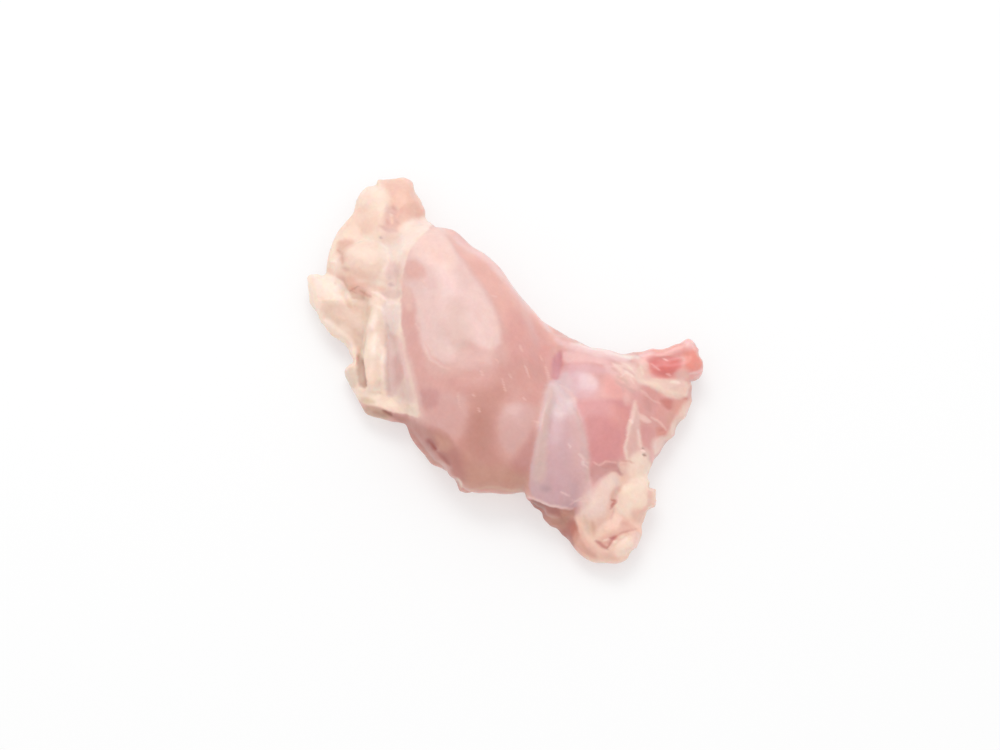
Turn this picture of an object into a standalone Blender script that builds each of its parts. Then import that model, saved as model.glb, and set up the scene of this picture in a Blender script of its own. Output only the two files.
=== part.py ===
"""A raw skinless chicken thigh, lying on its cut side, as one closed solid.

Metres, +Z up.  The thigh lies along X: the fatty hip end is at -X and the knee end at +X.
It stands on Z = 0, and its origin is at the middle of its footprint.
It is built the way the meat is layered: rounded muscles, lobes of fat and bands of tendon
lie over each other, are joined into one body, softened where they meet and cut flat below.
"""

import math

import bmesh
import bpy
from mathutils import Euler, Matrix, Vector

# Driving dimensions of the whole piece.
LENGTH = 0.1398
WIDTH = 0.0808
HEIGHT = 0.0240

# The lobes, strands and blocks that the meat is layered from.
SPHERE_SEGMENTS = 40
SPHERE_RINGS = 20
BEAD_SPACING = 0.3          # of a strand's width
BLOCK_BEVEL = 0.0032
BLOCK_BEVEL_STEPS = 3
BLOCK_BEVEL_PROFILE = 0.5   # a quarter circle

# How they are joined and softened: the muscles far more than the fat over them.
VOXEL = 0.0008
MUSCLE_ROUNDS = 30
FAT_ROUNDS = 5
SOFTEN_SHARE = 0.5
UNEVEN_SPAN = 0.011
UNEVEN_DEPTH = 0.0008

# How the skin is thinned to fewer triangles, and the flat underside.
TRIANGLES = 9500
NICK_ANGLE = math.radians(65)
NICK_ROUNDS = 8
NICK_SHARE = 0.5
FLOOR_THICKNESS = 0.03

MEAT_COLOUR = (0.76, 0.42, 0.37, 1.0)
MEAT_ROUGHNESS = 0.38


def clear_scene():
    for old in list(bpy.data.objects):
        bpy.data.objects.remove(old, do_unlink=True)


def new_collection(name, is_helper):
    made = bpy.data.collections.new(name)
    bpy.context.scene.collection.children.link(made)
    made.hide_render = is_helper
    return made


def meat_material():
    material = bpy.data.materials.new("raw thigh meat")
    material.use_nodes = True
    shader = material.node_tree.nodes["Principled BSDF"]
    shader.inputs["Base Color"].default_value = MEAT_COLOUR
    shader.inputs["Roughness"].default_value = MEAT_ROUGHNESS
    shader.inputs["Metallic"].default_value = 0.0
    return material


# Three kinds of shape: a rounded lobe, a block with flat cut faces and a band.


def angles(heading, pitch, roll=0):
    """Heading turns about Z, pitch lifts the +X end and roll turns about the length."""
    return Euler((math.radians(roll), -math.radians(pitch), math.radians(heading)))


def placed(name, shape, centre, turn, collection):
    """Moves a finished bmesh to its place and makes it a helper object."""
    place = Matrix.Translation(centre) @ turn.to_matrix().to_4x4()
    bmesh.ops.transform(shape, matrix=place, verts=shape.verts)
    mesh = bpy.data.meshes.new(name)
    shape.to_mesh(mesh)
    shape.free()
    made = bpy.data.objects.new(name, mesh)
    made.hide_render = True
    made.display_type = "WIRE"
    collection.objects.link(made)
    return made


def lobe(collection, name, centre, size, heading=0, pitch=0):
    """A rounded muscle or a lump of fat, given by its length, width and height."""
    shape = bmesh.new()
    bmesh.ops.create_uvsphere(
        shape, u_segments=SPHERE_SEGMENTS, v_segments=SPHERE_RINGS, radius=0.5
    )
    bmesh.ops.scale(shape, vec=size, verts=shape.verts)
    return placed(name, shape, centre, angles(heading, pitch), collection)


def block(collection, name, centre, size, heading, pitch, roll):
    """A stub with flat cut faces and rounded edges."""
    shape = bmesh.new()
    bmesh.ops.create_cube(shape, size=1.0)
    bmesh.ops.scale(shape, vec=size, verts=shape.verts)
    bmesh.ops.bevel(
        shape,
        geom=shape.edges[:],
        offset=BLOCK_BEVEL,
        segments=BLOCK_BEVEL_STEPS,
        profile=BLOCK_BEVEL_PROFILE,
        affect="EDGES",
    )
    return placed(name, shape, centre, angles(heading, pitch, roll), collection)


def strand(collection, name, stations, width, height):
    """A band of fat, tendon or film that runs through its stations as a row of beads."""
    for start, end in zip(stations, stations[1:]):
        start, end = Vector(start), Vector(end)
        run = end - start
        count = math.ceil(run.length / (BEAD_SPACING * width)) + 1
        heading = math.degrees(math.atan2(run.y, run.x))
        for index in range(count):
            centre = start.lerp(end, index / (count - 1))
            lobe(collection, name, centre, (width, width, height), heading)


# The thigh's own shapes, from the muscles out to the fat.


def add_muscles(meat):
    """The large outer muscle, the smaller inner one and what joins them."""
    lobe(meat, "outer muscle", (-0.0055, -0.0107, 0.009), (0.088, 0.044, 0.030), -36)
    lobe(meat, "upper crest", (-0.022, 0.0012, 0.011), (0.058, 0.028, 0.023), -21)
    lobe(meat, "far edge", (-0.013, 0.0097, 0.0055), (0.068, 0.017, 0.013), -7)
    lobe(meat, "upper shoulder", (-0.0360, 0.0070, 0.008), (0.026, 0.030, 0.019), -25)
    lobe(meat, "lower crest", (0.018, -0.019, 0.010), (0.040, 0.030, 0.023), -48)
    lobe(meat, "front belly", (-0.002, -0.029, 0.007), (0.046, 0.018, 0.015), -20)
    lobe(meat, "front rim", (0.0200, -0.0308, 0.006), (0.028, 0.016, 0.013), 24)
    lobe(meat, "bridge", (0.018, 0.003, 0.006), (0.030, 0.026, 0.018), -60)
    lobe(meat, "inner muscle", (0.037, -0.001, 0.0075), (0.051, 0.036, 0.022), -50)
    lobe(meat, "inner top", (0.027, 0.006, 0.008), (0.026, 0.022, 0.020), -30)
    lobe(meat, "inner back", (0.033, 0.010, 0.005), (0.040, 0.028, 0.016), 12)
    lobe(meat, "silver skin", (0.0330, -0.015, 0.008), (0.042, 0.022, 0.023), -52)
    lobe(meat, "knee bed", (0.050, -0.014, 0.005), (0.030, 0.024, 0.014), -60)
    lobe(meat, "hip bed", (-0.046, 0.002, 0.005), (0.040, 0.036, 0.014), -20)


def add_thin_edges(meat):
    """The thin muscle by the knee, and the film and soft layers that show at the rim."""
    lobe(meat, "thin muscle", (0.047, 0.0110, 0.006), (0.028, 0.016, 0.011), -66)
    strand(
        meat,
        "far film",
        [(0.003, 0.0130, 0.004), (0.020, 0.0150, 0.004), (0.031, 0.0205, 0.005)],
        0.007,
        0.006,
    )
    strand(
        meat,
        "silver skin edge",
        [
            (0.0200, -0.0035, 0.0134),
            (0.0229, -0.0078, 0.0166),
            (0.0276, -0.0172, 0.0180),
            (0.0317, -0.0250, 0.0160),
            (0.0364, -0.0314, 0.0096),
        ],
        0.0040,
        0.0050,
    )
    lobe(meat, "under knee", (0.0435, -0.0285, 0.003), (0.027, 0.009, 0.006), -8)
    lobe(meat, "under front", (-0.0010, -0.0350, 0.0035), (0.020, 0.009, 0.007), -15)
    lobe(meat, "under front end", (0.0055, -0.0378, 0.003), (0.012, 0.006, 0.006), -10)
    lobe(meat, "crumb of fat", (0.0170, -0.0392, 0.0025), (0.008, 0.005, 0.004), 20)


def add_cut_stub(meat):
    """The short red end that was cut across, and the tendon that wraps under it."""
    block(meat, "cut stub", (0.0398, 0.0283, 0.0065), (0.021, 0.0110, 0.011), 46, 4, 8)
    lobe(meat, "stub root", (0.0345, 0.0190, 0.0055), (0.024, 0.016, 0.012), 48)
    strand(
        meat,
        "tendon",
        [(0.030, 0.018, 0.008), (0.042, 0.0185, 0.008), (0.0475, 0.0245, 0.006)],
        0.0065,
        0.007,
    )
    strand(
        meat,
        "knee rim",
        [(0.0490, 0.0250, 0.005), (0.0525, 0.0150, 0.005), (0.0530, 0.0000, 0.006)],
        0.006,
        0.007,
    )


def add_knee_fat(meat):
    """The soft pale lobes that hang round the knee end."""
    strand(meat, "knee strip", [(0.041, 0.016, 0.009), (0.0525, -0.006, 0.010)], 0.007, 0.008)
    lobe(meat, "knee pale lobe", (0.050, -0.017, 0.008), (0.026, 0.015, 0.014), -60)
    lobe(meat, "knee lobe", (0.0585, -0.0130, 0.007), (0.018, 0.014, 0.013), -62)
    lobe(meat, "knee knob", (0.0620, -0.0110, 0.0055), (0.009, 0.006, 0.007), 30)
    lobe(meat, "knee tip", (0.0613, -0.0240, 0.006), (0.019, 0.016, 0.011), -60)
    lobe(meat, "knee left lobe", (0.0555, -0.0295, 0.0045), (0.018, 0.010, 0.009), -20)


def add_hip_fat(meat):
    """The folded fat and loose film at the hip end."""
    lobe(meat, "hip top lobe", (-0.0570, 0.0170, 0.007), (0.021, 0.0140, 0.013), -52)
    lobe(meat, "hip fold", (-0.0600, 0.0140, 0.006), (0.020, 0.020, 0.011), 0)
    lobe(meat, "hip cream lobe", (-0.0615, 0.0135, 0.006), (0.018, 0.017, 0.012), -30)
    lobe(meat, "hip middle", (-0.0510, 0.0080, 0.008), (0.026, 0.017, 0.013), 0)
    lobe(meat, "hip ball", (-0.0505, -0.0065, 0.0085), (0.019, 0.019, 0.0135), 0)
    lobe(meat, "hip rim lobe", (-0.0610, -0.0010, 0.0055), (0.028, 0.011, 0.010), -76)
    lobe(meat, "hip spike", (-0.0535, -0.0196, 0.0055), (0.019, 0.012, 0.009), -8)
    lobe(meat, "fat sheet", (-0.0460, -0.0205, 0.006), (0.030, 0.016, 0.009), -18)
    strand(meat, "strap", [(-0.0410, -0.011, 0.010), (-0.0245, -0.0335, 0.008)], 0.0070, 0.008)
    lobe(meat, "seam film", (-0.036, -0.008, 0.008), (0.032, 0.018, 0.014), -40)


def add_low_straps(meat):
    """The strap under the fat sheet and the film above it."""
    lobe(meat, "low film", (-0.020, -0.025, 0.007), (0.028, 0.014, 0.012), -35)
    strand(
        meat,
        "low strap",
        [(-0.0315, -0.033, 0.004), (-0.0200, -0.0382, 0.005), (-0.010, -0.0345, 0.007)],
        0.0065,
        0.007,
    )
    lobe(meat, "slot wall", (-0.032, -0.028, 0.0045), (0.018, 0.009, 0.009), -50)
    lobe(meat, "under strap", (-0.0170, -0.0350, 0.003), (0.014, 0.007, 0.006), 0)


def add_hollows(hollows):
    """The slots and pits where folds of fat close on each other."""
    lobe(hollows, "slot", (-0.0335, -0.0275, 0.010), (0.015, 0.0030, 0.008), -55)
    lobe(hollows, "hip pit", (-0.0485, -0.0165, 0.0105), (0.014, 0.0035, 0.0045), -25)
    lobe(hollows, "hip dimple", (-0.0545, 0.0100, 0.0155), (0.011, 0.0045, 0.0040), -35)
    lobe(hollows, "stub hollow", (0.0400, 0.0280, 0.0125), (0.014, 0.005, 0.003), 48)
    lobe(hollows, "knee mouth", (0.0614, -0.0300, 0.0110), (0.008, 0.0022, 0.0045), 3)
    lobe(hollows, "knee mouth corner", (0.0650, -0.0260, 0.0113), (0.010, 0.0022, 0.0045), 78)
    lobe(hollows, "knee crease", (0.0566, -0.0179, 0.0135), (0.010, 0.0024, 0.0050), -57)
    lobe(hollows, "muscle crease", (0.0150, 0.0058, 0.0156), (0.022, 0.0045, 0.0045), -38, 12)


# Joining, softening and trimming.


def apply_modifiers(body):
    """Bakes the body's modifiers into its mesh."""
    graph = bpy.context.evaluated_depsgraph_get()
    baked = bpy.data.meshes.new_from_object(body.evaluated_get(graph))
    body.modifiers.clear()
    body.data = baked


def remove_collection(collection):
    for helper in list(collection.objects):
        bpy.data.objects.remove(helper, do_unlink=True)
    bpy.data.collections.remove(collection)


def join_shapes(name, meat):
    """One union of every shape in the collection, as the body of that name."""
    body = meat.objects[0]
    meat.objects.unlink(body)
    bpy.context.scene.collection.objects.link(body)
    body.name = name
    union = body.modifiers.new("join the layers", "BOOLEAN")
    union.operation = "UNION"
    union.operand_type = "COLLECTION"
    union.collection = meat
    union.solver = "MANIFOLD"
    apply_modifiers(body)
    remove_collection(meat)
    return body


def cut(body, cutters):
    """Takes every shape in the collection out of the body."""
    difference = body.modifiers.new("cut", "BOOLEAN")
    difference.operation = "DIFFERENCE"
    difference.operand_type = "COLLECTION"
    difference.collection = cutters
    difference.solver = "MANIFOLD"
    apply_modifiers(body)
    remove_collection(cutters)


def soften(body, rounds):
    """Rounds the creases between the layers, as wet meat closes up on itself."""
    remesh = body.modifiers.new("even skin", "REMESH")
    remesh.mode = "VOXEL"
    remesh.voxel_size = VOXEL
    relax = body.modifiers.new("relax", "SMOOTH")
    relax.factor = SOFTEN_SHARE
    relax.iterations = rounds
    apply_modifiers(body)


def make_uneven(body):
    """Slight swells and dips, so that no lobe is a perfect egg."""
    swell = bpy.data.textures.new("slow swell", "CLOUDS")
    swell.noise_scale = UNEVEN_SPAN
    push = body.modifiers.new("uneven skin", "DISPLACE")
    push.texture = swell
    push.texture_coords = "LOCAL"
    push.strength = UNEVEN_DEPTH
    apply_modifiers(body)


def fit_to_size(body):
    """Scales the mesh to its driving dimensions, centred in X and Y."""
    corners = [Vector(corner) for corner in body.bound_box]
    low = Vector([min(c[axis] for c in corners) for axis in range(3)])
    high = Vector([max(c[axis] for c in corners) for axis in range(3)])
    share = Vector((LENGTH / (high.x - low.x), WIDTH / (high.y - low.y), HEIGHT / high.z))
    middle = Vector(((low.x + high.x) / 2, (low.y + high.y) / 2, 0.0))
    body.data.transform(Matrix.Diagonal((*share, 1.0)) @ Matrix.Translation(-middle))


def thin_out(body):
    """Fewer triangles, more of them where the form bends."""
    body.data.calc_loop_triangles()
    fewer = body.modifiers.new("fewer triangles", "DECIMATE")
    fewer.ratio = min(1.0, TRIANGLES / len(body.data.loop_triangles))
    apply_modifiers(body)


def ease_nicks(body):
    """Flattens the sharp little folds that thinning leaves in a smooth skin."""
    shape = bmesh.new()
    shape.from_mesh(body.data)
    for _ in range(NICK_ROUNDS):
        sharp = {
            vert
            for edge in shape.edges
            if edge.calc_face_angle(0.0) > NICK_ANGLE
            for vert in edge.verts
        }
        bmesh.ops.smooth_vert(
            shape,
            verts=list(sharp),
            factor=NICK_SHARE,
            use_axis_x=True,
            use_axis_y=True,
            use_axis_z=True,
        )
    shape.to_mesh(body.data)
    shape.free()


def add_floor(cutters):
    """What reaches under Z = 0 is cut off by this, so that the thigh lies flat."""
    shape = bmesh.new()
    bmesh.ops.create_cube(shape, size=1.0)
    size = (2 * LENGTH, 2 * WIDTH, FLOOR_THICKNESS)
    bmesh.ops.scale(shape, vec=size, verts=shape.verts)
    placed("floor", shape, (0, 0, -FLOOR_THICKNESS / 2), Euler(), cutters)


def main():
    clear_scene()
    muscle_shapes = new_collection("muscle shapes", True)
    add_muscles(muscle_shapes)
    muscles = join_shapes("muscles", muscle_shapes)
    soften(muscles, MUSCLE_ROUNDS)

    outer_shapes = new_collection("outer shapes", True)
    add_thin_edges(outer_shapes)
    add_cut_stub(outer_shapes)
    add_knee_fat(outer_shapes)
    add_hip_fat(outer_shapes)
    add_low_straps(outer_shapes)
    outer_shapes.objects.link(muscles)
    bpy.context.scene.collection.objects.unlink(muscles)
    body = join_shapes("thigh", outer_shapes)
    hollows = new_collection("hollows", True)
    add_hollows(hollows)
    cut(body, hollows)
    soften(body, FAT_ROUNDS)
    make_uneven(body)
    fit_to_size(body)
    thin_out(body)
    ease_nicks(body)
    floor = new_collection("floor", True)
    add_floor(floor)
    cut(body, floor)

    thigh = new_collection("raw chicken thigh", False)
    thigh.objects.link(body)
    bpy.context.scene.collection.objects.unlink(body)
    body.hide_render = False
    body.display_type = "TEXTURED"
    body.data.shade_smooth()
    body.data.materials.clear()
    body.data.materials.append(meat_material())


main()
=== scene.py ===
# %% [markdown]
# # A raw skinless chicken thigh
# The object is one piece of meat: two muscles side by side, folded fat at both ends, a band
# of silver skin across the middle and a short red stub that was cut across. Its true form is
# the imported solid. This lesson gives that form its surface: finer folds, film, fat, colours
# that belong to each tissue, and a wet soft gloss. The solid is loaded first and never changed.

import math

import bpy
import numpy as np
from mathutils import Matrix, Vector, noise


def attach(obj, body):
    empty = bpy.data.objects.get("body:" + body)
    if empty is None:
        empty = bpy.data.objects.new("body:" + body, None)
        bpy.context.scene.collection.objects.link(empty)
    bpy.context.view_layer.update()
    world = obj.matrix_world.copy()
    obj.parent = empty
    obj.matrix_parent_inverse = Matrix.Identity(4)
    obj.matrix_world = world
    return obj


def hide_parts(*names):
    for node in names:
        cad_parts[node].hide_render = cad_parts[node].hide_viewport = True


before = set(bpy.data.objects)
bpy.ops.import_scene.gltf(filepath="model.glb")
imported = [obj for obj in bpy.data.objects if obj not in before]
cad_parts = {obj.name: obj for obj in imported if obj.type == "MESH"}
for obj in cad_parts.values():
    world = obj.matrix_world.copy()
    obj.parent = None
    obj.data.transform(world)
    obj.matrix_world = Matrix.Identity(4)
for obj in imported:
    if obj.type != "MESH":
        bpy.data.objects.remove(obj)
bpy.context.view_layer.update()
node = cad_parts["thigh"]

# %% [markdown]
# The camera looks down at the meat from its front right. What is drawn on the meat later is
# placed where this camera sees it, so the camera's own directions are kept.

# %% camera
VIEW_TURN = math.radians(40)
VIEW_HEIGHT = math.radians(65)
AIM = Vector((0.004016, -0.005451, 0.008))
CAMERA_DISTANCE = 0.708
NEAREST_SEEN = 0.01
LENS = 85
SENSOR = 36

towards_camera = Vector((
    math.sin(VIEW_TURN) * math.cos(VIEW_HEIGHT),
    -math.cos(VIEW_TURN) * math.cos(VIEW_HEIGHT),
    math.sin(VIEW_HEIGHT),
))
view_across = Vector((math.cos(VIEW_TURN), math.sin(VIEW_TURN), 0))
view_up = towards_camera.cross(view_across)

bpy.ops.object.select_all(action="DESELECT")
bpy.ops.object.camera_add(location=AIM + towards_camera * CAMERA_DISTANCE)
camera = bpy.context.object
camera.name = "camera"
camera.rotation_euler = towards_camera.to_track_quat("Z", "Y").to_euler()
camera.data.lens = LENS
camera.data.sensor_width = SENSOR
camera.data.clip_start = NEAREST_SEEN
camera.data.dof.use_dof = False
bpy.context.scene.camera = camera
print("camera at", [round(v, 3) for v in camera.location])

# %% [markdown]
# Meat is lit as in a studio tent: a white room that fills every shadow, and one large soft
# box above and behind it, so that the folds turn away from the light towards the viewer. The
# floor is a table lit from below, as for food on white, so it glows and hardly takes a shadow.

# %% floor, room and lights
ROOM_LIGHT = 0.90
SOFT_BOX_WATTS = 2.2
SOFT_BOX_PLACE = Vector((-0.34, 0.30, 0.80))
SOFT_BOX_SIZE = (0.55, 0.40)
WHITE = (1.0, 1.0, 1.0, 1)
FLOOR_SIZE = 6
FLOOR_DROP = 0.0003
FLOOR_GREY = (0.5, 0.5, 0.5, 1)
FLOOR_GLOW = 0.45
FLOOR_ROUGHNESS = 0.9

bpy.ops.mesh.primitive_plane_add(size=FLOOR_SIZE, location=(0, 0, -FLOOR_DROP))
floor = bpy.context.object
floor.name = "floor"
floor_paint = bpy.data.materials.new("white floor")
floor_paint.use_nodes = True
floor_shader = floor_paint.node_tree.nodes["Principled BSDF"]
floor_shader.inputs["Base Color"].default_value = FLOOR_GREY
floor_shader.inputs["Emission Color"].default_value = WHITE
floor_shader.inputs["Emission Strength"].default_value = FLOOR_GLOW
floor_shader.inputs["Roughness"].default_value = FLOOR_ROUGHNESS
floor_shader.inputs["Specular IOR Level"].default_value = 0.0
floor.data.materials.append(floor_paint)

room = bpy.data.worlds.new("white room")
bpy.context.scene.world = room
room.use_nodes = True
room_light = room.node_tree.nodes["Background"]
room_light.inputs["Color"].default_value = WHITE
room_light.inputs["Strength"].default_value = ROOM_LIGHT

bpy.ops.object.light_add(type="AREA", location=SOFT_BOX_PLACE)
soft_box = bpy.context.object
soft_box.name = "soft box"
soft_box.rotation_euler = SOFT_BOX_PLACE.to_track_quat("Z", "Y").to_euler()
soft_box.data.shape = "RECTANGLE"
soft_box.data.size, soft_box.data.size_y = SOFT_BOX_SIZE
soft_box.data.energy = SOFT_BOX_WATTS
bpy.context.scene.view_settings.view_transform = "Standard"
print("soft box at", [round(v, 2) for v in soft_box.location])

# %% [markdown]
# The solid has a few thousand flat triangles. Wet meat has none, so a copy is merged, rounded
# by subdivision and cast again in small even cells, fine enough to carry folds of half a
# millimetre. The copy stands for the solid, which stays in the file for its weight and touch.

# %% a fine copy of the solid
MERGE_GAP = 1e-6
ROUNDING_LEVELS = 2
CELL = 0.00050
RELAX_FACTOR = 0.5
RELAX_ROUNDS = 3


def apply_all(piece):
    """Applies a piece's modifiers in turn, as the Apply command does."""
    bpy.ops.object.select_all(action="DESELECT")
    bpy.context.view_layer.objects.active = piece
    piece.select_set(True)
    for modifier in list(piece.modifiers):
        bpy.ops.object.modifier_apply(modifier=modifier.name)


bpy.ops.object.select_all(action="DESELECT")
thigh = bpy.data.objects.new("raw_thigh", node.data.copy())
bpy.context.scene.collection.objects.link(thigh)
bpy.context.view_layer.objects.active = thigh
thigh.select_set(True)
bpy.ops.object.mode_set(mode="EDIT")
bpy.ops.mesh.select_all(action="SELECT")
bpy.ops.mesh.remove_doubles(threshold=MERGE_GAP)
bpy.ops.object.mode_set(mode="OBJECT")
thigh.data.materials.clear()
rounded = thigh.modifiers.new("round the facets", "SUBSURF")
rounded.levels = ROUNDING_LEVELS
rounded.render_levels = ROUNDING_LEVELS
recast = thigh.modifiers.new("even cells", "REMESH")
recast.mode = "VOXEL"
recast.voxel_size = CELL
relax = thigh.modifiers.new("relax", "SMOOTH")
relax.factor = RELAX_FACTOR
relax.iterations = RELAX_ROUNDS
apply_all(thigh)
thigh.data.shade_smooth()
print("cells", len(thigh.data.polygons))

# %% [markdown]
# The tissues are drawn as the camera sees them, on a picture of 1000 by 750 points that lies
# over the view. So each point of the meat gets its place in that picture. Steps that work along
# the surface need each point's neighbours too.

# %% the meat's points in the picture
MM = 0.001
PICTURE_WIDE = 1000
PICTURE_HIGH = 750
POINT_MM = CAMERA_DISTANCE * SENSOR / LENS / PICTURE_WIDE / MM


def read_points(what, source):
    """One place or direction for each item of the source, as rows of three numbers."""
    values = np.empty(len(source) * 3, np.float32)
    source.foreach_get(what, values)
    return values.reshape(-1, 3).astype(float)


def in_picture(places):
    """Where the camera sees each place, in picture points from the top left corner."""
    apart = places - np.array(camera.location)
    magnify = PICTURE_WIDE * LENS / SENSOR / -(apart @ np.array(towards_camera))
    across = PICTURE_WIDE / 2 + magnify * (apart @ np.array(view_across))
    down = PICTURE_HIGH / 2 - magnify * (apart @ np.array(view_up))
    return np.stack([across, down], 1)


points = read_points("co", thigh.data.vertices)
pairs = np.empty(len(thigh.data.edges) * 2, np.int32)
thigh.data.edges.foreach_get("vertices", pairs)
pairs = pairs.reshape(-1, 2)
pairs = np.concatenate([pairs, pairs[:, ::-1]])
neighbours = np.bincount(pairs[:, 0], minlength=len(points))[:, None]


def around(values):
    """The mean of each point's neighbours along the surface, column by column."""
    sums = [
        np.bincount(pairs[:, 0], values[pairs[:, 1], column], len(values))
        for column in range(values.shape[1])
    ]
    return np.stack(sums, 1) / neighbours


def show_points():
    """Gives the mesh the places in points, and keeps them above the floor."""
    points[:, 2] = np.maximum(points[:, 2], 0)
    thigh.data.vertices.foreach_set("co", points.astype(np.float32).ravel())
    thigh.data.update()


print("points", len(points), "and one picture point is", round(POINT_MM, 3), "mm")

# %% [markdown]
# Folds of fat run together at their roots. Where the solid has a steep crack instead, the
# surface is relaxed a little, in a small round place and strongest in its middle.

# %% melt the cracks between the folds
MELT_RISE = 1.5
MELT_FACTOR = 0.5


def melt(name, middle, reach, rounds):
    """Relaxes the surface near a place of the picture; middle and reach are picture points."""
    gap = np.linalg.norm(in_picture(points) - middle, axis=1) / reach
    share = np.clip(MELT_RISE - MELT_RISE * gap, 0, 1)[:, None]
    for _ in range(rounds):
        points[:] += MELT_FACTOR * share * (around(points) - points)
    print("melted", name, "at", int((share > 0).sum()), "points")


melt("between spike and ball", (340, 281), 11, 70)
melt("under the red fold", (355, 297), 9, 20)
melt("beside the strap", (363, 336), 13, 60)
melt("foot of the strap", (380, 392), 8, 50)
show_points()
normals = read_points("vector", thigh.data.vertex_normals)

# %% [markdown]
# The edge of a film or a fold is never a clean line, so the places in the picture are shaken
# a little by noise. A second noise makes one stretch of an edge crisp and the next one soft.

# %% shake the places
WAVE_SPAN = 0.0050
WAVE_MM = 0.30
RIPPLE_SPAN = 0.0013
RIPPLE_MM = 0.17
CARE_SPAN = 0.0055
CARE_SPREAD = 0.55


def field(span, octaves, seed):
    """Noise from about -1 to 1 at every point; span is the size of its bumps in metres."""
    shift = Vector((seed, 1.7 * seed, -seed))
    return np.array([
        noise.fractal(Vector(p) / span + shift, 1.0, 2.0, octaves) for p in points
    ])


wobble = WAVE_MM * np.stack([field(WAVE_SPAN, 2, 3.1), field(WAVE_SPAN, 2, 8.7)], 1)
wobble += RIPPLE_MM * np.stack([field(RIPPLE_SPAN, 1, 5.3), field(RIPPLE_SPAN, 1, 1.9)], 1)
drawn = in_picture(points) + wobble / POINT_MM
edge_care = 1 + CARE_SPREAD * field(CARE_SPAN, 1, 9.9)
print("seen from", drawn.min(0).round(), "to", drawn.max(0).round())

# %% [markdown]
# Each tissue has its own colour, written as it looks in daylight, and two measures: how fat
# it is, and how much smooth film lies over it. Fat gets lumps and film gets gloss. Colours are
# written as a screen shows them, and turned into amounts of light before they are mixed.

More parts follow.
